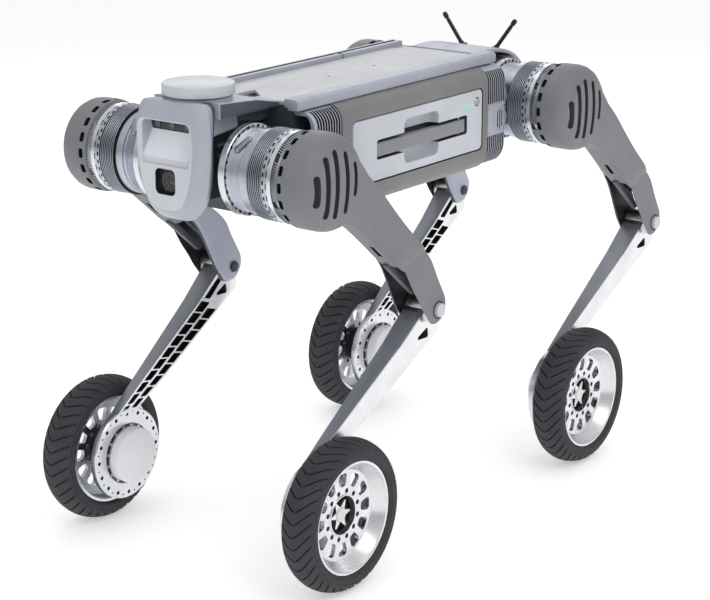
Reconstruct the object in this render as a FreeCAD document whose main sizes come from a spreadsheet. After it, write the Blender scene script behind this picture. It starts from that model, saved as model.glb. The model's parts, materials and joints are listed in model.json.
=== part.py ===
import FreeCAD, Part
import math
import os
import re

import Sketcher

# A four-legged robot chassis with a driven wheel on each foot.
# Frame: +X forward, +Y to the robot's left, +Z up, ground at z = 0.
# Body pieces are drawn about the middle of the four hips, then moved forward by body_shift, which
# puts the origin under the centre of the whole machine. Leg pieces are drawn about their own joint.

V = FreeCAD.Vector

SIZES = {
    # stance
    "body_shift": (82.95, "hip centre ahead of the origin"),
    "hip_reach": (328.5, "hip pitch axis to the hip centre, along X"),
    "hip_height": (599.0, "hip pitch and roll axes above the ground"),
    "roll_half": (72.0, "hip roll axis to the mid-plane"),
    "thigh_length": (350.0, "hip pitch axis to knee axis"),
    "thigh_lean": (136.5, "thigh direction, degrees about Y from +X"),
    "knee_back": (253.9, "knee axis behind the hip axis"),
    "knee_height": (358.2, "knee axis above the ground"),
    "shin_length": (350.0, "knee axis to wheel axle"),
    "shin_lean": (44.33, "shin direction, degrees about Y from +X"),
    "axle_back": (3.6, "wheel axle behind the hip axis"),
    # wheel
    "wheel_radius": (113.6, "outside radius of the tyre"),
    "wheel_half": (234.0, "centre plane of a wheel to the mid-plane"),
    "tyre_half": (28.2, "half width of the tyre"),
    "seat_radius": (82.0, "rim seat and tyre bore"),
    "lip_radius": (84.6, "rim lip"),
    "lip_half": (23.7, "rim lip to the wheel's centre plane"),
    "disc_radius": (65.0, "flat disc of the rim"),
    "window_radius": (8.5, "holes round the rim disc"),
    "window_ring": (53.0, "circle of those holes"),
    "drum_radius": (43.7, "wheel motor drum"),
    "ring_radius": (72.0, "mounting ring at the foot of the shin"),
    "ring_bore": (48.0, "bore of that ring"),
    # hip module, distances along Y from the mid-plane
    "housing_start": (73.0, "inner face of the hip housing"),
    "motor_start": (124.0, "inner face of the hip motor"),
    "motor_end": (177.7, "outer face of the hip motor"),
    "housing_radius": (66.0, "largest radius of the hip module"),
    "flange_radius": (50.0, "roll output flange"),
    # thigh and knee
    "thigh_inner": (178.3, "inner face of the thigh shell"),
    "thigh_split": (204.0, "joint plane of the two thigh shells"),
    "thigh_outer": (236.0, "outer face of the thigh cover"),
    "dome_radius": (69.0, "dome over the knee motor"),
    "fork_inner": (172.0, "inner face of the fork"),
    "fork_gap": (228.0, "inside of the fork's outer wall"),
    "fork_radius": (25.0, "rounded end of the fork"),
    "fork_centre": (338.5, "centre of that rounding, along the thigh"),
    "pin_radius": (8.0, "knee pin"),
    "lug_radius": (22.0, "shin lug round the knee pin"),
    # body
    "chassis_half": (86.0, "half width of the chassis box"),
    "chassis_floor": (512.0, "underside of the chassis box"),
    "plate_top": (681.0, "upper face of the top plate"),
    "plate_thick": (6.0, "thickness of the top plate"),
    "side_half": (125.0, "outermost face of the side covers"),
    "cover_top": (671.0, "upper edge of the side covers"),
    "cover_low": (505.0, "lower edge of the side covers"),
    "cover_wall": (4.0, "wall of the side covers"),
    "cover_front": (175.0, "front edge of the side covers"),
    "cover_rear": (206.0, "rear edge of the side covers, behind the hip centre"),
    "roll_hole": (41.0, "holes for the roll actuators"),
    "roll_clear": (51.0, "room round each roll flange"),
    "roll_room": (271.0, "end of that room, ahead of or behind the hip centre"),
    "running_gap": (0.3, "gap between parts that must not touch"),
    "front_end": (240.0, "front face of the front bulkhead"),
    "rear_end": (258.0, "rear face of the rear bulkhead, behind the hip centre"),
    "deck_spacing": (116.0, "threaded deck holes, front to back"),
    "deck_hole": (2.5, "their radius"),
    # battery
    "pack_front": (150.0, "front edge of the battery panel"),
    "pack_rear": (190.0, "rear edge of the battery panel, behind the hip centre"),
    "pack_low": (544.0, "lower edge of the battery panel"),
    "pack_high": (641.0, "upper edge of the battery panel"),
    "button_radius": (6.8, "power button"),
    "button_back": (174.0, "its centre, behind the hip centre"),
    "button_height": (622.0, "its centre above the ground"),
    "lamp_front": (135.0, "front edge of the first status light, behind the hip centre"),
    "lamp_pitch": (8.0, "status light to status light"),
    "lamp_width": (3.0, "width of a status light"),
    "lamp_low": (614.0, "lower edge of the status lights"),
    "lamp_high": (621.0, "upper edge of the status lights"),
    "grip_low": (579.5, "underside of the carrying grip"),
    "grip_high": (600.0, "upper face of the carrying grip"),
    # head
    "face_end": (420.0, "face plane of the head"),
    "puck_radius": (52.0, "round lidar"),
    "puck_height": (18.0, "its height"),
    "puck_centre": (346.0, "its centre, ahead of the hip centre"),
    "neck_top": (699.5, "flat under the lidar"),
    "duct_half": (62.0, "half width of the neck's roof"),
    "duct_start": (240.5, "rear end of the neck"),
    "head_rear": (372.5, "rear face of the head"),
    "head_split": (398.0, "widest section of the head"),
    "core_low": (556.0, "underside of the structure between the hips"),
    "core_half": (42.0, "half width of the structure between the hips"),
    # antennas
    "whip_foot": (366.0, "antenna foot behind the hip centre"),
    "whip_half": (31.0, "antenna foot to the mid-plane"),
    "whip_length": (66.0, "antenna length"),
    "whip_lean": (37.0, "antenna lean from vertical, degrees"),
    "whip_height": (668.5, "antenna hinge above the ground"),
}

doc = FreeCAD.newDocument("wheel_legged_chassis")
sheet = doc.addObject("Spreadsheet::Sheet", "dims")
for row, (alias, (number, meaning)) in enumerate(SIZES.items(), 1):
    sheet.set("A%d" % row, alias)
    sheet.set("B%d" % row, str(number))
    sheet.set("C%d" % row, meaning)
    sheet.setAlias("B%d" % row, alias)
doc.recompute()

NODES = []
PLANE_ROLE = {"XY": "XY_Plane", "XZ": "XZ_Plane", "YZ": "YZ_Plane"}


def formula(text):
    """An expression with each spreadsheet alias given its sheet's name."""
    return re.sub(r"[a-z]+(?:_[a-z]+)+", lambda found: "dims." + found.group(0), str(text))


def bind(thing, prop, text):
    thing.setExpression(prop, formula(text))


def number(text):
    return float(sheet.evalExpression(formula(text)))


def place(thing, x=0, y=0, z=0):
    for axis, text in zip("xyz", (x, y, z)):
        bind(thing, "Placement.Base." + axis, text)
    return thing


def node(label, thing, x="body_shift", y=0, z=0):
    """Name a finished sub-part, put it in the machine's frame and list it for export."""
    thing.Label = label
    place(thing, x, y, z)
    NODES.append(thing)
    return thing


# ---------------------------------------------------------------- sketches and their solids

def add_polygon(sketch, corners):
    first = sketch.GeometryCount
    spots = [V(number(a), number(b), 0) for a, b in corners]
    count = len(spots)
    for index in range(count):
        line = Part.LineSegment(spots[index], spots[(index + 1) % count])
        sketch.addGeometry(line, False)
    for index in range(count):
        after = first + (index + 1) % count
        sketch.addConstraint(Sketcher.Constraint("Coincident", first + index, 2, after, 1))
    for index, corner in enumerate(corners):
        for kind, text in zip(("DistanceX", "DistanceY"), corner):
            rule = Sketcher.Constraint(kind, -1, 1, first + index, 1, number(text))
            tag = sketch.addConstraint(rule)
            bind(sketch, "Constraints[%d]" % tag, text)


def add_circle(sketch, across, up, radius):
    centre = V(number(across), number(up), 0)
    tag = sketch.addGeometry(Part.Circle(centre, V(0, 0, 1), number(radius)), False)
    rules = [
        (Sketcher.Constraint("Radius", tag, number(radius)), radius),
        (Sketcher.Constraint("DistanceX", -1, 1, tag, 3, number(across)), across),
        (Sketcher.Constraint("DistanceY", -1, 1, tag, 3, number(up)), up),
    ]
    for rule, text in rules:
        bind(sketch, "Constraints[%d]" % sketch.addConstraint(rule), text)


def draw(body, plane, offset, loops):
    """A sketch on one of the body's own planes; a loop is a polygon or (across, up, radius)."""
    sketch = body.newObject("Sketcher::SketchObject", body.Name + "_sketch")
    role = PLANE_ROLE[plane]
    support = next(item for item in body.Origin.OriginFeatures if item.Role == role)
    sketch.AttachmentSupport = [(support, "")]
    sketch.MapMode = "FlatFace"
    bind(sketch, "AttachmentOffset.Base.z", offset)
    for loop in loops:
        if isinstance(loop, tuple):
            add_circle(sketch, *loop)
        else:
            add_polygon(sketch, loop)
    return sketch


def prism(name, plane, loops, low, high):
    """A pad of closed outlines between two positions along the plane's normal."""
    body = doc.addObject("PartDesign::Body", name)
    offset = "-(%s)" % high if plane == "XZ" else low
    sketch = draw(body, plane, offset, loops)
    pad = body.newObject("PartDesign::Pad", name + "_pad")
    pad.Profile = sketch
    bind(pad, "Length", "(%s) - (%s)" % (high, low))
    body.Tip = pad
    return body


def lathe(name, axis, profile):
    """A solid of revolution; the profile is (radius, along) for Y and Z, (along, radius) for X."""
    body = doc.addObject("PartDesign::Body", name)
    plane = "XZ" if axis == "Z" else "XY"
    sketch = draw(body, plane, 0, [profile])
    turn = body.newObject("PartDesign::Revolution", name + "_turn")
    turn.Profile = sketch
    turn.ReferenceAxis = (sketch, ["H_Axis" if axis == "X" else "V_Axis"])
    turn.Angle = 360
    body.Tip = turn
    return body


def drill_ring(body, loop, start, depth, count):
    """Pocket one outline of the XZ plane along +Y and repeat it round the Y axis."""
    doc.recompute()
    sketch = draw(body, "XZ", "-(%s)" % start, [loop])
    pocket = body.newObject("PartDesign::Pocket", body.Name + "_pocket")
    pocket.Profile = sketch
    bind(pocket, "Length", depth)
    doc.recompute()
    ring = body.newObject("PartDesign::PolarPattern", body.Name + "_ring")
    ring.Originals = [pocket]
    axis = next(item for item in body.Origin.OriginFeatures if item.Role == "Y_Axis")
    ring.Axis = (axis, [""])
    ring.Angle = 360
    ring.Occurrences = count
    body.Tip = ring


def soften(body, radius, wanted):
    """Round the edges that the test picks out."""
    doc.recompute()
    base = body.Tip
    edges = base.Shape.Edges
    names = ["Edge%d" % (i + 1) for i, edge in enumerate(edges) if wanted(edge)]
    fillet = body.newObject("PartDesign::Fillet", body.Name + "_fillet")
    fillet.Base = (base, names)
    bind(fillet, "Radius", radius)
    body.Tip = fillet
    return body


def along(direction):
    """A test for straight edges that run along one axis."""
    def wanted(edge):
        if not isinstance(edge.Curve, Part.Line):
            return False
        return abs(edge.Curve.Direction.dot(direction)) > 0.999
    return wanted


# ---------------------------------------------------------------- primitives and booleans

def block(name, x, y, z):
    """A box between (low, high) pairs."""
    box = doc.addObject("Part::Box", name)
    for prop, (low, high) in zip(("Length", "Width", "Height"), (x, y, z)):
        bind(box, prop, "(%s) - (%s)" % (high, low))
    return place(box, x[0], y[0], z[0])


def rod(name, axis, radius, low, high, x=0, y=0, z=0):
    """A cylinder along an axis between two positions on it; the other two centre it."""
    bar = doc.addObject("Part::Cylinder", name)
    bind(bar, "Radius", radius)
    bind(bar, "Height", "(%s) - (%s)" % (high, low))
    if axis == "X":
        bar.Placement.Rotation = FreeCAD.Rotation(V(0, 1, 0), 90)
        x = low
    elif axis == "Y":
        bar.Placement.Rotation = FreeCAD.Rotation(V(1, 0, 0), -90)
        y = low
    else:
        z = low
    return place(bar, x, y, z)


def fuse(name, *pieces):
    joined = doc.addObject("Part::MultiFuse", name)
    joined.Shapes = list(pieces)
    return joined


def cut(name, base, *tools):
    left = doc.addObject("Part::Cut", name)
    left.Base = base
    left.Tool = tools[0] if len(tools) == 1 else fuse(name + "_tools", *tools)
    return left


def group(name, *pieces):
    """Separate solids that make one sub-part."""
    held = doc.addObject("Part::Compound", name)
    held.Links = list(pieces)
    return held


def mirrored(name, source, normal):
    copy = doc.addObject("Part::Mirroring", name)
    copy.Source = source
    copy.Normal = normal
    return copy


# ---------------------------------------------------------------- body

def wrap_edge(inset):
    """One side's outline across the body, from the top edge round to the bottom edge."""
    return [
        ("chassis_half + 1", "cover_top - %s" % inset),
        ("side_half - 17 - 0.5 * %s" % inset, "cover_top - %s" % inset),
        ("side_half - 5 - 0.8 * %s" % inset, "cover_top - 9 - 0.6 * %s" % inset),
        ("side_half - %s" % inset, "cover_top - 26"),
        ("side_half - %s" % inset, "cover_low + 38"),
        ("side_half - 7 - 0.8 * %s" % inset, "cover_low + 19 + 0.5 * %s" % inset),
        ("side_half - 20 - 0.5 * %s" % inset, "cover_low + 6 + 0.8 * %s" % inset),
        ("chassis_half + 1", "cover_low + %s" % inset),
    ]


def wrap_shell(name, inset, rear, front):
    wall = number("cover_wall") * (1 if inset == 0 else 1.5)
    outline = wrap_edge(inset) + wrap_edge(inset + wall)[::-1]
    return prism(name, "YZ", [outline], rear, front)


def make_chassis():
    floor = "chassis_floor"
    shell = block("box_outside", ("-240", "219.5"), ("-chassis_half", "chassis_half"),
                  (floor, "plate_top - plate_thick"))
    inside = block("box_inside", ("-234", "213"), ("-chassis_half + 5", "chassis_half - 5"),
                   (floor + " + 5", "plate_top"))
    bay = block("battery_mouth", ("-pack_rear + 4", "pack_front - 4"), (0, "chassis_half + 5"),
                ("pack_low + 4", "pack_high - 4"))
    holes = []
    for side in (1, -1):
        for end, low, high in (("front", "180", "230"), ("rear", "-250", "-190")):
            name = "roll_hole_%s_%s" % (end, "left" if side > 0 else "right")
            holes.append(rod(name, "X", "roll_hole", low, high, y="%d * roll_half" % side,
                             z="hip_height"))
    node("chassis_frame", cut("chassis_box", shell, inside, bay, *holes))


def make_top():
    nose = [("240", "-73"), ("240", "-22"), ("196", "-22"), ("226", "14"), ("240", "14"),
            ("240", "73"), ("226", "79"), ("-225", "79"), ("-225", "-79"), ("226", "-79")]
    holes = [("46", "0", "deck_hole"), ("46 - deck_spacing", "0", "deck_hole")]
    plate = prism("plate", "XY", [nose] + holes, "plate_top - plate_thick", "plate_top")
    node("top_plate", plate)
    back = prism("rear_cover", "XY", [[("-226", "-79"), ("-226", "79"), ("-rear_end", "79"),
                 ("-rear_end", "-79")]], "plate_top - plate_thick", "plate_top - 1.5")
    node("rear_top_cover", back)


def make_rails():
    foot = "chassis_half + running_gap"
    seat = "plate_top - plate_thick + running_gap"
    section = [(foot, "cover_top + running_gap"), ("105", "cover_top + running_gap"),
               ("105", "cover_top + 13"), ("101", "cover_top + 17"), ("80", "cover_top + 17"),
               ("80", seat), (foot, seat)]
    near = prism("near_rail", "YZ", [section], "-rear_end", "254")
    far = []
    for index, (low, high) in enumerate((("200", "240"), ("-92", "182"), ("-rear_end", "-98"))):
        strip = prism("far_rail_%d" % index, "YZ", [section], low, high)
        far.append(mirrored("far_strip_%d" % index, strip, V(0, 1, 0)))
    node("top_rails", group("rails", near, *far))


def make_covers():
    left = wrap_shell("left_wrap", 0, "-cover_rear", "cover_front")
    mouth = prism("panel_mouth", "XZ", [[("-pack_rear - 1.5", "pack_low - 1.5"),
                  ("pack_front + 1.5", "pack_low - 1.5"), ("pack_front + 1.5", "pack_high + 1.5"),
                  ("-pack_rear - 1.5", "pack_high + 1.5")]], "side_half - 15", "side_half + 5")
    soften(mouth, 9, along(V(0, 1, 0)))
    opened = cut("left_cover", left, mouth)
    right = mirrored("right_cover", wrap_shell("right_wrap", 0, "-cover_rear", "cover_front"), V(0, 1, 0))
    node("side_covers", group("covers", opened, right))
    front = wrap_shell("front_vent", 2, "cover_front + 1", "front_end - 1")
    rear = wrap_shell("rear_vent", 2, "-rear_end", "-cover_rear - 1")
    pairs = [front, rear] + [mirrored(v.Name + "_far", v, V(0, 1, 0)) for v in (front, rear)]
    node("side_vents", group("vents", *pairs))
    pan = prism("pan", "YZ", [[("-85", "cover_low - 2"), ("85", "cover_low - 2"),
                ("chassis_half", "chassis_floor - 0.3"), ("-chassis_half", "chassis_floor - 0.3")]],
                "-rear_end", "front_end - 1")
    node("belly_pan", pan)


def make_bulkheads():
    outline = [("-79", "chassis_floor"), ("79", "chassis_floor"), ("chassis_half", "530"),
               ("chassis_half", "plate_top - plate_thick - 0.2"),
               ("-chassis_half", "plate_top - plate_thick - 0.2"), ("-chassis_half", "530")]
    for name, low, high in (("front_bulkhead", "220", "front_end"),
                            ("rear_bulkhead", "-rear_end", "-240.5")):
        wall = prism(name + "_wall", "YZ", [outline], low, high)
        holes = [rod(name + "_hole_%d" % i, "X", "roll_hole", low + " - 5", high + " + 5",
                     y="%d * roll_half" % side, z="hip_height") for i, side in enumerate((1, -1))]
        node(name, cut(name + "_drilled", wall, *holes))


def make_roll_actuators():
    motors = []
    ends = (("front", ("196", "front_end + 0.5"), ("front_end + 0.5", "262")),
            ("rear", ("-rear_end - 0.5", "-206"), ("-262", "-rear_end - 0.5")))
    for end, body_span, face_span in ends:
        for side in (1, -1):
            name = "roll_%s_%s" % (end, "left" if side > 0 else "right")
            middle = "%d * roll_half" % side
            can = rod(name + "_can", "X", "40", *body_span, y=middle, z="hip_height")
            face = rod(name + "_face", "X", "49", *face_span, y=middle, z="hip_height")
            motors.append(fuse(name, can, face))
    node("roll_actuators", group("actuators", *motors))


def make_electronics():
    boards = [block("computer", ("-30", "120"), ("-70", "-24"), ("560", "620")),
              block("motor_driver", ("-160", "-50"), ("-70", "-24"), ("560", "600")),
              block("power_board", ("-160", "120"), ("-74", "-22"), ("530", "538"))]
    node("control_boards", group("boards", *boards))


def lamp_blocks(name, outer):
    """The four status lights, or the pockets that they sit in."""
    lamps = []
    for index in range(4):
        front = "-lamp_front - %d * lamp_pitch" % index
        lamps.append(block("%s_%d" % (name, index), (front + " - lamp_width", front),
                           ("side_half - 2", outer), ("lamp_low", "lamp_high")))
    return lamps


def make_battery():
    cells = block("cells", ("-pack_rear + 6", "pack_front - 6"), ("-15", "95"),
                  ("pack_low + 6", "pack_high - 6"))
    node("battery_pack", hold(cells))
    rim = [("-pack_rear", "pack_low"), ("pack_front", "pack_low"),
           ("pack_front", "pack_high"), ("-pack_rear", "pack_high")]
    panel = prism("panel", "XZ", [rim], "side_half - 15", "side_half")
    soften(panel, 8, along(V(0, 1, 0)))
    thick = block("panel_back", ("-pack_rear + 6", "pack_front - 6"),
                  ("side_half - 29.8", "side_half - 15"), ("pack_low + 6", "pack_high - 6"))
    slot = block("handle_slot", ("-147", "91"), ("side_half - 27", "side_half + 5"), ("576", "605"))
    scoop = block("handle_scoop", ("-69", "22"), ("side_half - 27", "side_half + 5"),
                  ("558", "625"))
    seat = rod("button_seat", "Y", "button_radius + running_gap", "side_half - 8",
               "side_half + 5", x="-button_back", z="button_height")
    lamps = lamp_blocks("lamp_pocket", "side_half + 5")
    opened = cut("panel_cut", fuse("panel_solid", panel, thick), slot, scoop, seat, *lamps)
    grip = block("grip", ("-141", "91"), ("side_half - 13", "side_half - 1"),
                 ("grip_low", "grip_high"))
    post = block("grip_post", ("-141", "-126"), ("side_half - 27", "side_half - 13"),
                 ("grip_low", "grip_high"))
    node("battery_panel", fuse("panel_and_grip", opened, grip, post))
    node("status_lights", group("lights", *lamp_blocks("lamp", "side_half - 0.2")))
    key = rod("key", "Y", "button_radius", "side_half - 6", "side_half + 0.8", x="-button_back",
              z="button_height")
    node("power_button", hold(key))


def hold(piece):
    """Hold one primitive, so that the sub-part's own placement stays free."""
    return group(piece.Name + "_part", piece)


def roll_rooms(name, low, high):
    """Round clearances for the two roll flanges at one end of the body."""
    return [rod("%s_room_%d" % (name, i), "X", "roll_clear", low, high,
                y="%d * roll_half" % side, z="hip_height") for i, side in enumerate((1, -1))]


def make_neck():
    front = "head_rear - 0.5"
    roof = prism("neck_roof", "XZ", [[("duct_start", "673.5"), (front, "673.5"), (front, "697"),
                 ("290", "691"), ("duct_start", "680.5")]], "-duct_half", "duct_half")
    pad = rod("lidar_seat", "Z", "puck_radius - 4", "690", "neck_top", x="puck_centre")
    core = block("neck_core", ("duct_start", front), ("-core_half", "core_half"),
                 ("core_low", "673.5"))
    hollow = block("neck_hollow", ("duct_start + 3.5", "380"), ("-core_half + 5", "core_half - 5"),
                   ("core_low + 5", "668"))
    room = roll_rooms("neck", "duct_start - 5", "roll_room")
    node("neck_duct", cut("neck_open", fuse("neck", roof, pad, core), hollow, *room))
    puck = lathe("puck", "Z", [(0, "neck_top + 0.2"), ("puck_radius - 2", "neck_top + 0.2"),
                 ("puck_radius", "neck_top + 3"), ("puck_radius", "neck_top + puck_height - 1"),
                 ("puck_radius - 1", "neck_top + puck_height"), (0, "neck_top + puck_height")])
    node("lidar_puck", puck, x="body_shift + puck_centre")


def face_outline(spread, drop):
    """Half of the head's front outline, wider by spread and deeper by drop, and its mirror."""
    upper = [(50, 676), (53, 668), (54, 640), (52, 615)]
    lower = [(44, 575), (30, 549), (16, 542)]
    right = [("%s + %s" % (y, spread), str(z)) for y, z in upper]
    right += [("%s + %s" % (y, spread), "%s - %s" % (z, drop)) for y, z in lower]
    left = [("-(%s)" % y, z) for y, z in right[::-1]]
    return right + left


def make_head():
    loft_body = doc.addObject("PartDesign::Body", "head_loft")
    back = draw(loft_body, "YZ", "head_split", [face_outline(14, 14)])
    front = draw(loft_body, "YZ", "face_end", [face_outline(0, 0)])
    loft = loft_body.newObject("PartDesign::AdditiveLoft", "head_loft_solid")
    loft.Profile = back
    loft.Sections = [front]
    loft.Ruled = True
    loft_body.Tip = loft
    crown = prism("head_crown", "XZ", [[("head_rear", "674"), ("418", "674"), ("409", "690"),
                  ("400", "697"), ("head_rear", "697")]], "-66", "66")
    rear = block("head_back", ("head_rear", "head_split + 0.5"), ("-50", "50"), ("532", "675"))
    seat = rod("lidar_seat_room", "Z", "puck_radius - 3.5", "689", "neck_top + 5",
               x="puck_centre")
    shell = fuse("head_solid", loft_body, crown, rear)
    hollow = block("head_hollow", ("365", "393"), ("-44", "44"), ("545", "668"))
    chin = block("head_chin_hollow", ("380", "409"), ("-22", "22"), ("565", "608"))
    visor = prism("visor_cut", "XZ", [[("425", "672"), ("400.5", "670"), ("400.5", "656"),
                  ("420", "614"), ("425", "614")]], "-45", "45")
    slit = block("depth_slot", ("385", "401"), ("-40", "40"), ("656.5", "669"))
    window = block("lens_window", ("400", "425"), ("-15.5", "15.5"), ("569", "603"))
    node("head_shell", cut("head", shell, hollow, chin, visor, slit, window, seat))
    glass = prism("window_glass", "YZ", [[("-15", "569.5"), ("15", "569.5"), ("15", "602.5"),
                  ("-15", "602.5")]], "412", "415")
    soften(glass, 4, along(V(1, 0, 0)))
    node("camera_window", glass)
    barrel = lathe("barrel", "X", [(396, 0), (411.7, 0), (411.7, 11), (403, 13), (396, 13)])
    node("camera_lens", barrel, z="586.5")
    node("depth_camera", group("depth_bar", block("depth_body", ("394", "400"), ("-39.5", "39.5"),
         ("657", "668.5"))))


def make_tail():
    near = "-rear_end - running_gap"
    roof = [(near, "673"), (near, "681"), ("-305", "682"), ("-345", "677"),
            ("-378", "665"), ("-402", "646"), ("-412", "622"), ("-406", "622"), ("-397", "643"),
            ("-374", "660"), ("-343", "671"), ("-305", "675"), ("-300", "673")]
    cap = prism("hood_cap", "XZ", [roof], "-64", "64")
    core = block("tail_core", ("-400", near), ("-core_half", "core_half"),
                 ("core_low + 4", "674"))
    trim = prism("tail_trim", "XZ", [[("-300", "676"), ("-343", "672"), ("-374", "661"),
                 ("-397", "644"), ("-430", "622"), ("-430", "700"), ("-300", "700")]], "-50", "50")
    hollow = block("tail_hollow", ("-410", near + " - 5"), ("-core_half + 5", "core_half - 5"),
                   ("core_low + 9", "655"))
    room = roll_rooms("tail", "-roll_room", "-rear_end + 5")
    body = cut("tail_box", cut("tail_shaped", core, trim), hollow, *room)
    foot_holes = [rod("foot_hole_%d" % i, "X", "7.6", "-whip_foot - 10", "-whip_foot + 10",
                      y="%d * whip_half" % side, z="whip_height")
                  for i, side in enumerate((1, -1))]
    node("tail_hood", cut("hood", fuse("hood_solid", cap, body), *foot_holes))
    for label, side in (("antenna_left", 1), ("antenna_right", -1)):
        foot = rod(label + "_foot", "X", "6.5", "-6", "6")
        mast = rod(label + "_mast", "Z", "2.6", "5", "whip_length - 8")
        tip = lathe(label + "_tip", "Z", [(0, "whip_length - 8"), (3.8, "whip_length - 8"),
                    (4.2, "whip_length - 1"), (3, "whip_length + 2"), (0, "whip_length + 2")])
        whip = fuse(label + "_whip", foot, mast, tip)
        whip.Placement.Rotation = FreeCAD.Rotation(V(1, 0, 0), -side * number("whip_lean"))
        node(label, whip, x="body_shift - whip_foot", y="%d * whip_half" % side, z="whip_height")


# ---------------------------------------------------------------- leg pieces, drawn once

def hip_housing():
    """The roll body, with its output flange behind it; drawn for a front leg."""
    drum = lathe("hip_drum", "Y", [(0, "housing_start"), ("housing_radius", "housing_start"),
                 ("housing_radius", "housing_start + 12"), (61, "housing_start + 14"),
                 (58, "motor_start - 18"), (62, "motor_start - 16"),
                 (62, "motor_start - 0.2"), (0, "motor_start - 0.2")])
    flange = rod("hip_flange", "X", "flange_radius", "-66.2", "-59", y="roll_half")
    web = block("hip_web", ("-62", "0"), ("housing_start", "120"), ("-38", "38"))
    return fuse("hip_housing", drum, flange, web)


def hip_motor():
    """The pitch motor: cooling fins, then a vented ring and a narrow drive ring."""
    outline = [(0, "motor_start"), ("housing_radius", "motor_start")]
    pitch = 4.0
    for groove in range(6):
        start = "motor_start + %.1f" % (2.6 + groove * pitch)
        end = "motor_start + %.1f" % (4.4 + groove * pitch)
        outline += [("housing_radius", start), ("housing_radius - 3", start),
                    ("housing_radius - 3", end), ("housing_radius", end)]
    outline += [("housing_radius", "motor_end - 6"), ("housing_radius - 3", "motor_end - 5"),
                ("housing_radius - 3", "motor_end"), (0, "motor_end")]
    return lathe("hip_motor", "Y", outline)


def arm_outline(front):
    """The thigh arm seen from outside: +X runs down to the knee, -Z is its upper, rear side."""
    return [("0", "-62"), ("60", "-55"), ("190", "-48"), ("253", "-50"), ("284", "-48"),
            ("325", "-33"), ("fork_centre + 15", "-20"), ("fork_centre + 15", "20")] + front


def thigh_frame():
    front = [("fork_centre", "fork_radius - 0.5"), ("300", "27"), ("205", "29"), ("80", "34"),
             ("0", "62")]
    disc = rod("frame_disc", "Y", "dome_radius - 1", "thigh_inner", "thigh_split")
    core = prism("frame_arm", "XZ", [[("0", "-62"), ("60", "-55"), ("190", "-48"), ("205", "-48"),
                 ("205", "29"), ("80", "34"), ("0", "62")]], "thigh_inner", "thigh_split")
    wall = prism("frame_wall", "XZ", [arm_outline(front)], "fork_inner", "thigh_inner")
    trim = rod("frame_trim", "Y", "housing_radius + 12", "fork_inner - 5", "thigh_inner")
    end = rod("frame_end", "Y", "fork_radius", "fork_inner", "thigh_inner", x="fork_centre")
    motor_bay = rod("frame_bay", "Y", "56", "thigh_inner + 6", "thigh_split + 5")
    arm_bay = prism("frame_arm_bay", "XZ", [[("50", "-45"), ("195", "-40"), ("195", "21"),
                    ("50", "26")]], "thigh_inner + 5", "thigh_split + 5")
    bore = rod("frame_bore", "Y", "pin_radius", "fork_inner - 5", "thigh_inner + 5",
               x="thigh_length")
    solid = fuse("frame_solid", disc, core, cut("frame_fork", wall, trim), end)
    return cut("thigh_frame", solid, motor_bay, arm_bay, bore)


def thigh_cover():
    front = [("fork_centre", "fork_radius - 0.5"), ("312", "26"), ("256", "14"), ("213", "6"),
             ("203", "28"), ("80", "33"), ("0", "62")]
    split = "thigh_split + 0.2"
    dome = lathe("cover_dome", "Y", [(0, split), ("dome_radius", split),
                 ("dome_radius", "thigh_outer - 12"), ("dome_radius - 3.5", "thigh_outer - 3.5"),
                 ("dome_radius - 12", "thigh_outer"), (0, "thigh_outer")])
    arm = prism("cover_arm", "XZ", [[("0", "-62"), ("60", "-55"), ("190", "-48"), ("205", "-48"),
                ("203", "28"), ("80", "33"), ("0", "62")]], split, "thigh_outer")
    wall = prism("cover_wall_fork", "XZ", [arm_outline(front)], "fork_gap", "thigh_outer")
    end = rod("cover_end", "Y", "fork_radius", "fork_gap", "thigh_outer", x="fork_centre")
    web = prism("cover_web", "XZ", [[("205.5", "-48"), ("253", "-50"), ("284", "-48"),
                ("320", "-35"), ("315", "-29"), ("282", "-40"), ("205.5", "-39")]],
                "thigh_inner + running_gap", "fork_gap")
    motor_bay = rod("cover_bay", "Y", "56", "thigh_split - 5", "thigh_outer - 7")
    arm_bay = prism("cover_arm_bay", "XZ", [[("50", "-45"), ("195", "-40"), ("195", "21"),
                    ("50", "26")]], "thigh_split - 5", "thigh_outer - 6")
    bore = rod("cover_bore", "Y", "pin_radius", "fork_gap - 5", "thigh_outer + 5",
               x="thigh_length")
    return cut("thigh_cover", fuse("cover_solid", dome, arm, wall, end, web),
               motor_bay, arm_bay, bore)


def knee_drive():
    """The knee motor inside the dome, and the knee pin with a head at each end."""
    motor = rod("knee_motor", "Y", "50", "thigh_inner + 6.5", "thigh_outer - 8")
    shaft = rod("pin_shaft", "Y", "pin_radius", "fork_inner - 0.2", "thigh_outer + 0.2",
                x="thigh_length")
    inner = rod("pin_inner", "Y", "10", "fork_inner - 4", "fork_inner - 0.2", x="thigh_length")
    outer = rod("pin_outer", "Y", "11", "thigh_outer + 0.2", "thigh_outer + 4", x="thigh_length")
    return group("knee_drive", motor, fuse("knee_pin", shaft, inner, outer))


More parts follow.
